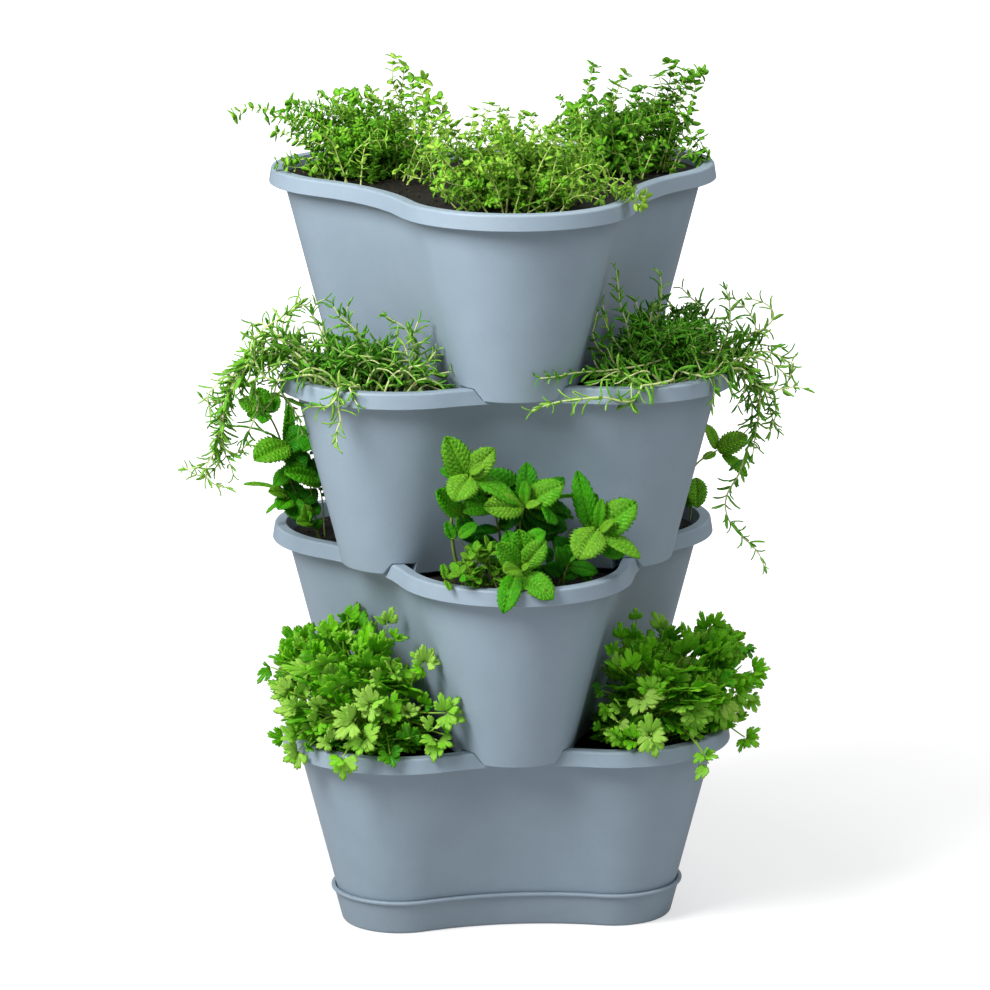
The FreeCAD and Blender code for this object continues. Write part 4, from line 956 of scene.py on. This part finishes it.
# ------------------------------------------------------------------ materials
def attribute(nt, name):
    n = nt.nodes.new("ShaderNodeAttribute")
    n.attribute_name = name
    return n.outputs["Fac"]


def foliage(name, dark, light, young, under, stem_a, stem_b, veins, gloss, vein_rise, net=False):
    """Leaf and stem material: colour runs by leaf, by age and along the veins; paler and duller underneath."""
    m, nt, sh = new_material(name)
    t, s, tint, part, below = (attribute(nt, k) for k in ("leaf_t", "leaf_s", "tint", "part", "under"))
    co = nt.nodes.new("ShaderNodeTexCoord").outputs["Object"]
    blotch = node(nt, "ShaderNodeTexNoise", Scale=110.0, Detail=3.0, Roughness=0.6)
    nt.links.new(co, blotch.inputs["Vector"])
    fine = node(nt, "ShaderNodeTexNoise", Scale=900.0, Detail=2.0, Roughness=0.6)
    nt.links.new(co, fine.inputs["Vector"])
    tone = maths(nt, "ADD", maths(nt, "MULTIPLY", blotch.outputs["Fac"], 0.5), maths(nt, "SUBTRACT", tint, 0.25), True)
    base = ramp(nt, tone, [(0.0, dark), (0.5, light), (0.92, young)]).outputs[0]
    # veins: a midrib and slanting side veins, paler than the blade
    a_s = maths(nt, "ABSOLUTE", s)
    rib = maths(nt, "SUBTRACT", 1.0, maths(nt, "MULTIPLY", a_s, veins[0]), True)
    rib = maths(nt, "MULTIPLY", rib, maths(nt, "SUBTRACT", 1.0, maths(nt, "MULTIPLY", t, 0.75)))
    phase = maths(nt, "SUBTRACT", maths(nt, "MULTIPLY", t, veins[1]), maths(nt, "MULTIPLY", a_s, veins[2]))
    wave = maths(nt, "ABSOLUTE", maths(nt, "SUBTRACT", maths(nt, "FRACT", phase), 0.5))
    side = maths(nt, "POWER", maths(nt, "MULTIPLY", wave, 2.0), 9.0)
    line = maths(nt, "MAXIMUM", rib, maths(nt, "MULTIPLY", side, abs(veins[3])), True)
    groove = line
    if net:
        # side veins lie in grooves, with a net of small veins that leaves puffed cells between them
        place = nt.nodes.new("ShaderNodeCombineXYZ")
        for i, v in enumerate((maths(nt, "MULTIPLY", phase, 0.95), maths(nt, "MULTIPLY", s, 3.1), maths(nt, "MULTIPLY", tint, 17.0))):
            nt.links.new(v, place.inputs[i])
        cell = nt.nodes.new("ShaderNodeTexVoronoi")
        cell.feature = "DISTANCE_TO_EDGE"
        cell.inputs["Scale"].default_value = 1.15
        nt.links.new(place.outputs[0], cell.inputs["Vector"])
        small = maths(nt, "SUBTRACT", 1.0, maths(nt, "MULTIPLY", cell.outputs["Distance"], 4.2), True)
        groove = maths(nt, "MAXIMUM", maths(nt, "MULTIPLY", small, 0.75), line, True)
        # painted shade: the colour is darkened along the side-vein grooves and the net of small veins
        groove_shade = maths(nt, "MAXIMUM", maths(nt, "MULTIPLY", side, 0.9), maths(nt, "MULTIPLY", small, 0.6), True)
        base = mix(nt, "MULTIPLY", maths(nt, "MULTIPLY", groove_shade, 1.0), base, (0.34, 0.50, 0.35))
        line = rib
    base = mix(nt, "MIX", maths(nt, "MULTIPLY", line, 0.42), base, tuple(min(1.0, c * 1.25 + 0.02) for c in young))
    # base of the leaf is yellower, the margin a little darker
    base = mix(nt, "MIX", maths(nt, "MULTIPLY", maths(nt, "SUBTRACT", 1.0, maths(nt, "MULTIPLY", t, 4.0), True), 0.35), base, young)
    edge = maths(nt, "POWER", a_s, 6.0)
    base = mix(nt, "MULTIPLY", maths(nt, "MULTIPLY", edge, 0.22), base, (0.6, 0.75, 0.5))
    base = mix(nt, "MIX", maths(nt, "MULTIPLY", below, 0.62), base, under)
    speck = ramp(nt, fine.outputs["Fac"], [(0.3, (0.84, 0.86, 0.8)), (0.7, (1.06, 1.05, 1.0))]).outputs[0]
    base = mix(nt, "MULTIPLY", 0.6, base, speck)
    stemc = ramp(nt, maths(nt, "ADD", maths(nt, "MULTIPLY", blotch.outputs["Fac"], 0.6), maths(nt, "MULTIPLY", tint, 0.5)),
                 [(0.25, stem_a), (0.75, stem_b)]).outputs[0]
    stemc = mix(nt, "MULTIPLY", 0.5, stemc, speck)
    nt.links.new(mix(nt, "MIX", part, base, stemc), sh.inputs["Base Color"])
    rough = maths(nt, "ADD", maths(nt, "MULTIPLY", fine.outputs["Fac"], 0.22), maths(nt, "MULTIPLY", below, 0.18))
    nt.links.new(maths(nt, "ADD", rough, gloss), sh.inputs["Roughness"])
    sh.inputs["Specular IOR Level"].default_value = 0.14
    sh.inputs["Subsurface Weight"].default_value = 0.22
    sh.inputs["Subsurface Radius"].default_value = (0.6, 1.0, 0.15)
    sh.inputs["Subsurface Scale"].default_value = 0.002
    height = maths(nt, "ADD", maths(nt, "MULTIPLY", groove, -vein_rise), maths(nt, "MULTIPLY", fine.outputs["Fac"], 0.35))
    bump = node(nt, "ShaderNodeBump", Strength=0.55, Distance=0.0004)
    nt.links.new(height, bump.inputs["Height"])
    nt.links.new(bump.outputs[0], sh.inputs["Normal"])
    return m


THYME_MAT = foliage("thyme_leaf", (0.009, 0.105, 0.001), (0.110, 0.415, 0.006), (0.385, 0.63, 0.075), (0.15, 0.42, 0.035),
                    (0.14, 0.29, 0.030), (0.58, 0.70, 0.22), (7.0, 4.0, 1.0, 0.2), 0.42, 0.8)
ROSEMARY_MAT = foliage("rosemary_leaf", (0.003, 0.060, 0.0005), (0.055, 0.310, 0.003), (0.39, 0.65, 0.115), (0.17, 0.45, 0.045),
                       (0.15, 0.32, 0.035), (0.68, 0.76, 0.35), (4.0, 3.0, 0.5, 0.0), 0.40, 1.2)
MINT_MAT = foliage("mint_leaf", (0.007, 0.165, 0.001), (0.062, 0.395, 0.003), (0.205, 0.47, 0.028), (0.12, 0.42, 0.02),
                   (0.10, 0.16, 0.03), (0.32, 0.42, 0.10), (11.0, 10.0, 3.0, -0.95), 0.34, 2.6, net=True)
PARSLEY_MAT = foliage("parsley_leaf", (0.009, 0.175, 0.001), (0.145, 0.530, 0.004), (0.33, 0.60, 0.090), (0.17, 0.51, 0.02),
                      (0.16, 0.38, 0.02), (0.36, 0.60, 0.08), (9.0, 5.0, -1.5, 0.35), 0.36, 1.2)
TO_EYE = BACK + np.array([0, 0, 0.55])


def polar_xy(r, deg):
    return np.array([r * math.cos(math.radians(deg)), r * math.sin(math.radians(deg))])


def stem_to(rng, tuft, deg, base_r, base_spread, tip, arch, n=22):
    """A path from the mix up and over to a tip (x, y, z mm, z over the rim)."""
    rim = RIM[tuft.tier]
    b = polar_xy(base_r, deg) + rng.normal(size=2) * base_spread
    b = np.array([b[0], b[1], rim + SOIL - 2])
    e = np.array([tip[0], tip[1], rim + tip[2]])
    m = 0.5 * (b + e) + np.array([0, 0, arch * np.linalg.norm(e - b)])
    m[:2] = b[:2] + (e[:2] - b[:2]) * 0.38
    return wander(rng, smooth([b, m, e], n), 2.6)


def herb_small(name, deg, secs, stems, seed, material, slot, tier, node_name, **o):
    """Thyme and rosemary: many thin stems, each with many small leaves."""
    tuft = Tuft(tier, seed)
    rng = tuft.rng
    rim = RIM[tier]
    for pts, y0, y1 in stems:
        p = px(pts, y0, y1)
        p[0, 2] = min(p[0, 2], rim + SOIL - 1)
        p[0] = into_pot(p[0], tier)
        path = wander(rng, smooth(p, 40), 0.8)
        path = tuft.stem(path, o["r"] * 1.25, o["r"] * 0.55, tint=0.7 + 0.3 * rng.random())
        whorls(tuft, path, o["hero_step"], o["hero_lo"], o["leaf"] * o.get("hero_big", 1.1), o["half"] * o.get("hero_big", 1.1), o.get("hero_shape", o["shape"]), o["open"],
               per=o["per"], extra=o["extra"] * 0.6, curl=o["curl"], thick=o["thick"], fold=o["fold"], tint=o["hero_tint"], grow=o["grow"], jitter=o["jitter"],
               close=o.get("close", 0.35), cross=o.get("cross", False))
    top = secs[-1][0]
    for i in range(o["count"]):
        u = rng.random()
        z = -6 + (top * o["fill"] + 4) * u ** o["low"]
        xy = crown_point(rng, deg, secs, z, 0.93, edge=rng.random() < 0.45)
        path = stem_to(rng, tuft, deg, o["base_r"], o["base_spread"], (xy[0], xy[1], z), o["arch"] * (0.4 + rng.random()))
        path = tuft.stem(path, o["r"], o["r"] * 0.5, sides=5, tint=0.5 * rng.random())
        # painted shade: stems that end low in the crown (below 20 mm) get only the darker part of the tint range
        deep = 1.0 - 0.6 * (z < 20)
        whorls(tuft, path, o["step"] * 1.05, o["lo"], o["leaf"], o["half"], o["shape"], o["open"], per=o["per"], extra=o["extra"],
               curl=o["curl"], thick=o["thick"], fold=o["fold"], tint=(o["tint"][0], o["tint"][0] + (o["tint"][1] - o["tint"][0]) * deep), jitter=o["jitter"],
               close=o.get("close", 0.35), cross=o.get("cross", False))
    for pts in o.get("boughs", []):
        c = np.array([[a[0], a[1], rim + a[2]] for a in pts])
        rad = np.array([a[3] for a in pts])
        for i in range(o["bough_stems"]):
            off = rng.normal(size=3) * np.array([0.5, 0.5, 0.45])
            cut = rng.integers(max(2, len(pts) - 2), len(pts) + 1)
            b = polar_xy(o["base_r"], deg) + rng.normal(size=2) * o["base_spread"]
            p = np.concatenate([[[b[0], b[1], rim + SOIL - 2]], (c + off[None] * rad[:, None])[:cut]])
            path = wander(rng, smooth(p, 46), 3.0)
            path = tuft.stem(path, o["r"] * 1.1, o["r"] * 0.5, tint=0.6 + 0.4 * rng.random())
            whorls(tuft, path, o["step"] * 1.25, 0.3, o["leaf"], o["half"], o["shape"], o["open"] + 10, per=o["per"], extra=o["extra"],
                   curl=o["curl"], thick=o["thick"], fold=o["fold"], tint=o["hero_tint"], jitter=o["jitter"])
    return tuft.object(name, material, node_name)


def build_thyme(side, count, tint, leaf, seed, hero_tint):
    deg, secs = THYME[side]
    return herb_small(f"thyme_{side}_plant", deg, secs, THYME_STEMS[side], seed, THYME_MAT, "thyme_foliage", 4, f"thyme_{side}",
                      r=0.6, step=4.7, hero_step=5.4, grow=False, hero_lo={"left": 0.22, "front": 0.26, "right": 0.12}[side], lo=0.12, leaf=leaf, half=leaf * 0.35, shape=SMALL,
                      hero_shape=OVAL, close=-0.1, cross=True, open=66, per=2, extra=0.6, curl=0.45, thick=0.4,
                      fold=0.0, count=count, base_r=104, base_spread=17, arch=0.13, tint=tint, hero_tint=hero_tint, jitter=0.45, hero_big=1.14, low=1.0, fill={"left": 0.60, "front": 0.84, "right": 0.70}[side])


def build_rosemary(side, count, seed, bough_stems):
    deg, secs = ROSEMARY[side]
    return herb_small(f"rosemary_{side}_plant", deg, secs, ROSEMARY_STEMS[side], seed, ROSEMARY_MAT, "rosemary_foliage", 3, f"rosemary_{side}",
                      r=0.95, step=5.9, hero_step=7.9, grow=True, hero_lo=0.24, lo=0.12, leaf=15.6, half=1.6, shape=NEEDLE, open=60, per=2, extra=0.6, curl=1.0, thick=1.0, low=0.9, fill={"right": 0.62, "left": 0.44, "back": 0.5}[side],
                      fold=0.0, count=count, base_r=137, base_spread=12, arch=0.16, tint=(0.0, 0.6), hero_tint={"right": (0.14, 0.92), "left": (0.3, 1.0), "back": (0.3, 1.0)}[side], jitter=0.5, hero_big=1.14,
                      boughs=[BOUGH[side]], bough_stems=bough_stems)


def mint_leaf(tuft, base, tip, half, lean_face, roll, tint, curl=0.5, fold=0.12):
    d = unit(tip - base)
    face = lean_face - (lean_face @ d) * d
    face = unit(face)
    r = math.radians(roll)
    side = np.cross(d, face)
    face = face * math.cos(r) + side * math.sin(r)
    rng = tuft.rng
    shapes = MINT_SHAPES if half > 5.5 else MINT_YOUNG
    tuft.leaves(shapes[rng.integers(3)], base, d, face, np.linalg.norm(tip - base), half, curl=curl, fold=fold,
                twist=rng.normal() * 0.18, thick=0.35, tint=tint)


def rosette(tuft, pos, way, size, tint, pairs=3):
    """The growing tip of a mint stem: opposite pairs, each a quarter turn on and smaller."""
    rng = tuft.rng
    way = unit(way)
    ref = unit(np.cross(way, np.array([0.3, 0.5, 0.1])))
    ref2 = np.cross(way, ref)
    g = rng.random() * 6.28
    for k in range(pairs):
        g += math.pi / 2 + rng.normal() * 0.15
        for j in (0, 1):
            a = math.radians(72 - 20 * k + rng.normal() * 9)
            out = ref * math.cos(g + j * math.pi) + ref2 * math.sin(g + j * math.pi)
            d = way * math.cos(a) + out * math.sin(a)
            L = size * (1.0, 0.74, 0.45, 0.25)[k] * (0.85 + 0.3 * rng.random())
            b = pos + way * (k * 2.0) + out * 1.0
            mint_leaf(tuft, b, b + d * L, L * 0.30, way - out * 0.2 + 0.001, rng.normal() * 14, np.clip(tint + 0.18 * k + rng.normal() * 0.1, 0, 1),
                      curl=0.5 + 0.5 * rng.random())


def build_mint(side, count, seed, young):
    deg, secs = MINT[side]
    tier = 2
    tuft = Tuft(tier, seed)
    rng = tuft.rng
    rim = RIM[tier]
    for pts, y0, y1, r in MINT_STEMS[side]:
        p = px(pts, y0, y1)
        if side != "right":
            p[0, 2] = min(p[0, 2], rim + SOIL - 1)
            p[0] = into_pot(p[0], tier)
        tuft.stem(wander(rng, smooth(p, 26), 0.5), r * 0.85, r * 0.55, tint=0.5 * rng.random() + 0.2)
    for u0, v0, u1, v1, w, y, lean, roll, tint in MINT_LEAVES[side]:
        half = w * 0.44
        b = at(u0, v0, y)
        tip = at(u1, v1, y - lean)
        flat = math.hypot(u1 - u0, v1 - v0) * 0.833
        need = half * 2 / 0.62
        if flat < need * 0.8 and abs(lean) < 15:
            tip = at(u1, v1, y - lean - 0.7 * math.sqrt(max(need * need * 0.64 - flat * flat, 0)))
        mint_leaf(tuft, b, tip, half, TO_EYE, roll, tint, curl=0.45 + 0.35 * rng.random(), fold=0.10 + 0.08 * rng.random())
    # leaf stalks and pairs lower on the stems, and the hidden side of the plant
    for i in range(count):
        z = 8 + (secs[-2][0] - 14) * (i + rng.random()) / count
        xy = crown_point(rng, deg, secs, z, 0.72)
        if side == "front":
            xy[1] = max(xy[1], -136 - 6 * rng.random())
            z = min(z, 62)
        path = stem_to(rng, tuft, deg, 138, 11, (xy[0], xy[1], z), 0.06, 16)
        tuft.stem(path, 1.4, 0.9, tint=rng.random() * 0.7)
        size = 27 + 9 * rng.random()
        pos, way, ln = node_frames(path, max(int(np.linalg.norm(path[-1] - path[0]) / 24), 1), 0.45, 0.86)
        for q in range(len(pos)):
            rosette(tuft, pos[q], way[q], size * 0.9, 0.15 * rng.random(), pairs=1)
        rosette(tuft, path[-1], path[-1] - path[-3] + np.array([0, 0, 1.0]), size, 0.2 + 0.25 * rng.random())
    for u, v, y, n in young:
        for i in range(n):
            c = at(u + rng.normal() * 7, v + rng.normal() * 8, y + rng.normal() * 5)
            c[2] = max(c[2], rim + SOIL + 4)
            base = into_pot(np.array([c[0] + rng.normal() * 3, c[1] + 4, rim + SOIL - 1]), tier)
            tuft.stem(smooth([base, (base + c) / 2 + rng.normal(size=3) * 1.2, c], 9), 0.7, 0.45, tint=0.8)
            rosette(tuft, c, np.array([rng.normal() * 0.4, -0.5, 1.0]), 9 + 4 * rng.random(), 0.65 + 0.3 * rng.random(), pairs=2)
    return tuft.object(f"mint_{side}_plant", MINT_MAT, f"mint_{side}")


def parsley_leaf(tuft, pos, way, face, size, tint):
    """One cut leaf at the end of its stalk: an end leaflet and a pair below it, on short stalks."""
    rng = tuft.rng
    way = unit(way)
    face = unit(face - (face @ way) * way)
    side = np.cross(way, face)
    for a, k in ((0.0, 1.0), (1.05, 0.86), (-1.05, 0.86)):
        a += rng.normal() * 0.12
        d = way * math.cos(a) + side * math.sin(a)
        stalk = size * (0.26 if a == 0 else 0.14)
        b = pos + d * stalk
        tuft.stem(np.array([pos, pos + d * stalk * 0.6 + face * 0.3, b + d * 1.2]), 0.5, 0.4, sides=4, tint=0.7)
        L = size * k * (0.85 + 0.3 * rng.random())
        tuft.leaves(SMALL_FANS[rng.integers(5)], b, d, face + rng.normal(size=3) * 0.28, L, L * 0.70, curl=rng.normal() * 0.35 + 0.35,
                    fold=rng.normal() * 0.12, twist=rng.normal() * 0.2, thick=0.3, tint=np.clip(tint + rng.normal() * 0.12, 0, 1))


def build_parsley(side, count, seed):
    deg, secs = PARSLEY[side]
    tier = 1
    tuft = Tuft(tier, seed)
    rng = tuft.rng
    rim = RIM[tier]
    crown = polar_xy(137, deg)
    for u, v, y, tips, tint in PARSLEY_LEAVES.get(side, []):
        n0 = at(u, v, y)
        base = np.array([crown[0] + rng.normal() * 9, crown[1] + rng.normal() * 7, rim + SOIL - 2])
        mid = base + (n0 - base) * 0.5 + np.array([0, 0, 0.14 * np.linalg.norm(n0 - base) + (12 if n0[2] < rim + 12 else 0)])
        tuft.stem(wander(rng, smooth([base, mid, n0], 18), 0.8), 0.95, 0.6, sides=5, tint=0.35 + 0.4 * rng.random())
        for u1, v1, w in tips:
            half = w * 0.46
            flat = math.hypot(u1 - u, v1 - v) * 0.833
            need = half * 1.75
            lean = 4 + 0.55 * math.sqrt(max(need * need - flat * flat, 0)) + rng.normal() * 2
            b = n0 + (at(u1, v1, y) - n0) * 0.06
            e = at(u1, v1, y - lean)
            d = unit(e - b)
            f = TO_EYE + rng.normal(size=3) * 0.22
            tuft.leaves(FANS[rng.integers(5)], b, d, f, np.linalg.norm(e - b), half * 1.12, curl=0.3 + 0.35 * rng.random(), fold=0.05 + rng.normal() * 0.08,
                        twist=rng.normal() * 0.12, thick=0.3, tint=np.clip(tint + rng.normal() * 0.1, 0, 1))
    top = secs[-1][0]
    for i in range(count):
        z = 2 + (top - 40) * rng.random()
        edge = rng.random() < 0.6
        if i % 4 == 0:
            z, edge = 1 + 9 * rng.random(), True
        xy = crown_point(rng, deg, secs, z, 0.84, edge=edge)
        tip = np.array([xy[0], xy[1], rim + z])
        base = np.array([crown[0] + rng.normal() * 9, crown[1] + rng.normal() * 7, rim + SOIL - 2])
        mid = base + (tip - base) * 0.5 + np.array([0, 0, 0.16 * np.linalg.norm(tip - base)])
        path = wander(rng, smooth([base, mid, tip], 16), 1.5)
        tuft.stem(path, 0.9, 0.55, sides=5, tint=0.2 + 0.6 * rng.random())
        out = tip - np.array([crown[0], crown[1], rim - 5])
        way = unit(path[-1] - path[-3]) * 0.6 + unit(out) * 0.7 + np.array([0, 0, -0.15]) + rng.normal(size=3) * 0.3
        face = unit(out) * 0.55 + np.array([0, 0, 0.9]) + rng.normal(size=3) * 0.25
        # painted shade: leaves inside the crown, away from its edge, get only the darker half of the tint range
        parsley_leaf(tuft, path[-1], way, face, 20.5 + 7.5 * rng.random(), 0.12 + 0.58 * rng.random() * (1 if edge else 0.5))
    return tuft.object(f"parsley_{side}_plant", PARSLEY_MAT, f"parsley_{side}")


# ---------------------------------------------------------------- potting mix
def lattice(rng, n=64):
    g = rng.random((n, n))

    def noise(x, y):
        xi, yi = np.floor(x).astype(int), np.floor(y).astype(int)
        fx, fy = x - xi, y - yi
        fx, fy = fx * fx * (3 - 2 * fx), fy * fy * (3 - 2 * fy)
        a, b = g[xi % n, yi % n], g[(xi + 1) % n, yi % n]
        c, d = g[xi % n, (yi + 1) % n], g[(xi + 1) % n, (yi + 1) % n]
        return (a * (1 - fx) + b * fx) * (1 - fy) + (c * (1 - fx) + d * fx) * fy - 0.5
    return noise


def soil_material():
    m, nt, sh = new_material("potting_mix")
    co = nt.nodes.new("ShaderNodeTexCoord").outputs["Object"]
    a = node(nt, "ShaderNodeTexNoise", Scale=260.0, Detail=6.0, Roughness=0.7)
    b = node(nt, "ShaderNodeTexVoronoi", Scale=420.0)
    c = node(nt, "ShaderNodeTexNoise", Scale=60.0, Detail=3.0)
    for n in (a, b, c):
        nt.links.new(co, n.inputs["Vector"])
    tint = attribute(nt, "tint")
    dark = ramp(nt, a.outputs["Fac"], [(0.32, (0.0035, 0.003, 0.0028)), (0.55, (0.012, 0.009, 0.007)), (0.72, (0.034, 0.024, 0.015)), (0.85, (0.10, 0.075, 0.045))])
    col = mix(nt, "MULTIPLY", 0.6, dark.outputs[0], ramp(nt, b.outputs["Distance"], [(0.1, (0.45, 0.45, 0.45)), (0.6, (1, 1, 1))]).outputs[0])
    col = mix(nt, "MIX", maths(nt, "MULTIPLY", tint, 0.8), col, (0.075, 0.048, 0.026))
    col = mix(nt, "MULTIPLY", 0.4, col, ramp(nt, c.outputs["Fac"], [(0.35, (0.6, 0.6, 0.62)), (0.65, (1.1, 1.05, 1.0))]).outputs[0])
    nt.links.new(col, sh.inputs["Base Color"])
    nt.links.new(maths(nt, "ADD", maths(nt, "MULTIPLY", a.outputs["Fac"], 0.35), 0.5), sh.inputs["Roughness"])
    sh.inputs["Specular IOR Level"].default_value = 0.3
    bump = node(nt, "ShaderNodeBump", Strength=0.8, Distance=0.001)
    nt.links.new(a.outputs["Fac"], bump.inputs["Height"])
    nt.links.new(bump.outputs[0], sh.inputs["Normal"])
    return m


SOIL_MAT = soil_material()
LUMP_V = np.array([[0, 0, 1], [.89, 0, .45], [.28, .85, .45], [-.72, .53, .45], [-.72, -.53, .45], [.28, -.85, .45],
                   [.72, .53, -.45], [-.28, .85, -.45], [-.89, 0, -.45], [-.28, -.85, -.45], [.72, -.53, -.45], [0, 0, -1]])
LUMP_F = np.array([[0, 1, 2], [0, 2, 3], [0, 3, 4], [0, 4, 5], [0, 5, 1], [1, 6, 2], [2, 7, 3], [3, 8, 4], [4, 9, 5], [5, 10, 1],
                   [6, 7, 2], [7, 8, 3], [8, 9, 4], [9, 10, 5], [10, 6, 1], [11, 7, 6], [11, 8, 7], [11, 9, 8], [11, 10, 9], [11, 6, 10]])


def rho_at(theta, off, first):
    """Distance from the axis at which the pot's outline, moved in by off, lies in direction theta."""
    lo, hi = np.zeros_like(theta), np.full_like(theta, 260.0)
    for _ in range(40):
        mid = 0.5 * (lo + hi)
        o = inset(mid * np.cos(theta), mid * np.sin(theta), first)[0]
        inside = o > off
        lo, hi = np.where(inside, mid, lo), np.where(inside, hi, mid)
    return 0.5 * (lo + hi)


def build_soil(tier, seed):
    rng = np.random.default_rng(seed)
    first, rim = FIRST[tier], RIM[tier]
    steps, rings = 230, 64
    theta = np.linspace(0, 2 * np.pi, steps, endpoint=False)
    level = SOIL + (4.0 if tier == 4 else 0.0)         # the top pot is filled a little higher
    top_off = WALL_IN - DRAFT * level + SKIN + 0.35
    edge = rho_at(theta, top_off, first)
    # the mix fills the pot down to the raised shelves beside its feet, and stays clear of them below that
    shelf = 116.3 / np.cos(np.radians((np.degrees(theta) - first + 60) % 120 - 60))
    lower = []
    for above, stepped in ((14.6, False), (12.9, True), (2.5, True)):
        out = rho_at(theta, top_off + DRAFT * (POT_H + level - above), first)
        lower.append((np.minimum(out, shelf) if stepped else out, rim - POT_H + above))
    noise = [lattice(rng) for _ in range(4)]
    f = np.linspace(0, 1, rings + 1)[1:] ** 0.92
    rho = edge[None] * f[:, None]
    x, y = rho * np.cos(theta)[None], rho * np.sin(theta)[None]

    def surface(x, y, away):
        h = 3.2 * noise[0](x / 34, y / 34) + 2.6 * noise[1](x / 11, y / 11) + 1.9 * noise[2](x / 4.2, y / 4.2) + 1.1 * noise[3](x / 1.9, y / 1.9)
        if tier < 4:
            o = inset(x, y, FIRST[tier + 1])[0]
            cover = np.clip((o - (WALL_IN + DRAFT * POT_H - 10)) / 6, 0, 1)      # 1 beneath the pot above
            h = h * (1 - cover) + (-1.0) * cover
        return h * np.clip(away / 5, 0.25, 1) - 0.4
    away = edge[None] - rho
    z = rim + level + surface(x, y, away)
    co = [np.stack([x, y, z], -1).reshape(-1, 3)]
    for out, height in lower:
        co.append(np.stack([out * np.cos(theta), out * np.sin(theta), np.full(steps, height)], -1))
    co.append(np.array([[0, 0, rim + level - 0.5], [0, 0, lower[-1][1]]]))
    co = np.concatenate(co)
    j = np.arange(steps)
    faces4, faces3 = [], []
    for i in range(rings + 2):
        a, b = i * steps + j, i * steps + (j + 1) % steps
        faces4.append(np.stack([a, a + steps, b + steps, b], -1))
    last = (rings + 2) * steps
    top_c, bot_c = last + steps, last + steps + 1
    faces3.append(np.stack([np.full(steps, top_c), j, (j + 1) % steps], -1))
    faces3.append(np.stack([np.full(steps, bot_c), last + (j + 1) % steps, last + j], -1))
    tint = np.zeros(len(co))
    # crumbs of bark and peat on the surface
    m = 900
    r = np.sqrt(rng.random(m)) * 0.97
    th = rng.random(m) * 2 * np.pi
    e = rho_at(th, top_off + 2.5, first)
    cx, cy = e * r * np.cos(th), e * r * np.sin(th)
    if tier < 4:
        o = inset(cx, cy, FIRST[tier + 1])[0]
        keep = o < WALL_IN + DRAFT * (POT_H - 2) - 2.5
        cx, cy = cx[keep], cy[keep]
        m = len(cx)
    size = 0.6 + 1.5 * rng.random(m) ** 2.2
    cz = rim + level + surface(cx, cy, np.full(m, 9.0)) + size * 0.15
    q = rng.normal(size=(m, 3, 3))
    q = np.linalg.qr(q)[0]
    flat = LUMP_V[None] * (1 + 0.28 * rng.normal(size=(m, 12, 1))) * np.stack([np.ones(m), 0.55 + 0.45 * rng.random(m), 0.35 + 0.4 * rng.random(m)], -1)[:, None]
    lumps = np.einsum("mij,mnj->mni", q, flat) * size[:, None, None] + np.stack([cx, cy, cz], -1)[:, None]
    faces3.append((LUMP_F[None] + (len(co) + 12 * np.arange(m))[:, None, None]).reshape(-1, 3))
    co = np.concatenate([co, lumps.reshape(-1, 3)])
    tint = np.concatenate([tint, np.repeat(np.where(rng.random(m) < 0.25, rng.random(m), 0.15 * rng.random(m)), 12)])
    q4, q3 = np.concatenate(faces4), np.concatenate(faces3)
    mesh = bpy.data.meshes.new(f"potting_mix_surface_{tier}")
    mesh.vertices.add(len(co))
    mesh.vertices.foreach_set("co", (co / 1000).astype(np.float32).ravel())
    mesh.loops.add(len(q4) * 4 + len(q3) * 3)
    mesh.loops.foreach_set("vertex_index", np.concatenate([q4.ravel(), q3.ravel()]).astype(np.int32))
    mesh.polygons.add(len(q4) + len(q3))
    mesh.polygons.foreach_set("loop_start", np.concatenate([np.arange(len(q4)) * 4, len(q4) * 4 + np.arange(len(q3)) * 3]).astype(np.int32))
    mesh.polygons.foreach_set("use_smooth", np.ones(len(q4) + len(q3), bool))
    mesh.attributes.new("tint", "FLOAT", "POINT").data.foreach_set("value", tint.astype(np.float32))
    mesh.update(calc_edges=True)
    mesh.validate()
    ob = bpy.data.objects.new(f"potting_mix_surface_{tier}", mesh)
    bpy.context.scene.collection.objects.link(ob)
    mesh.materials.append(SOIL_MAT)
    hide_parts(f"potting_mix_{tier}")
    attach(ob, f"tier_{tier}")
    return ob


for k in (1, 2, 3, 4):
    build_soil(k, 40 + k)

build_thyme("left", 100, (0.1, 0.8), 7.2, 11, (0.25, 0.95))
build_thyme("front", 106, (0.4, 1.0), 6.7, 12, (0.5, 1.0))
build_thyme("right", 92, (0.0, 0.6), 7.7, 13, (0.1, 0.75))
build_rosemary("right", 98, 21, 0)
build_rosemary("left", 70, 22, 0)
build_rosemary("back", 66, 23, 6)
build_mint("front", 3, 31, [(463, 572, -176, 6), (478, 578, -176, 5), (493, 564, -172, 5), (497, 580, -178, 4), (470, 560, -168, 4)])
build_mint("left", 5, 32, [])
build_mint("right", 7, 33, [])
build_parsley("right", 92, 41)
build_parsley("left", 92, 42)
build_parsley("back", 110, 43)
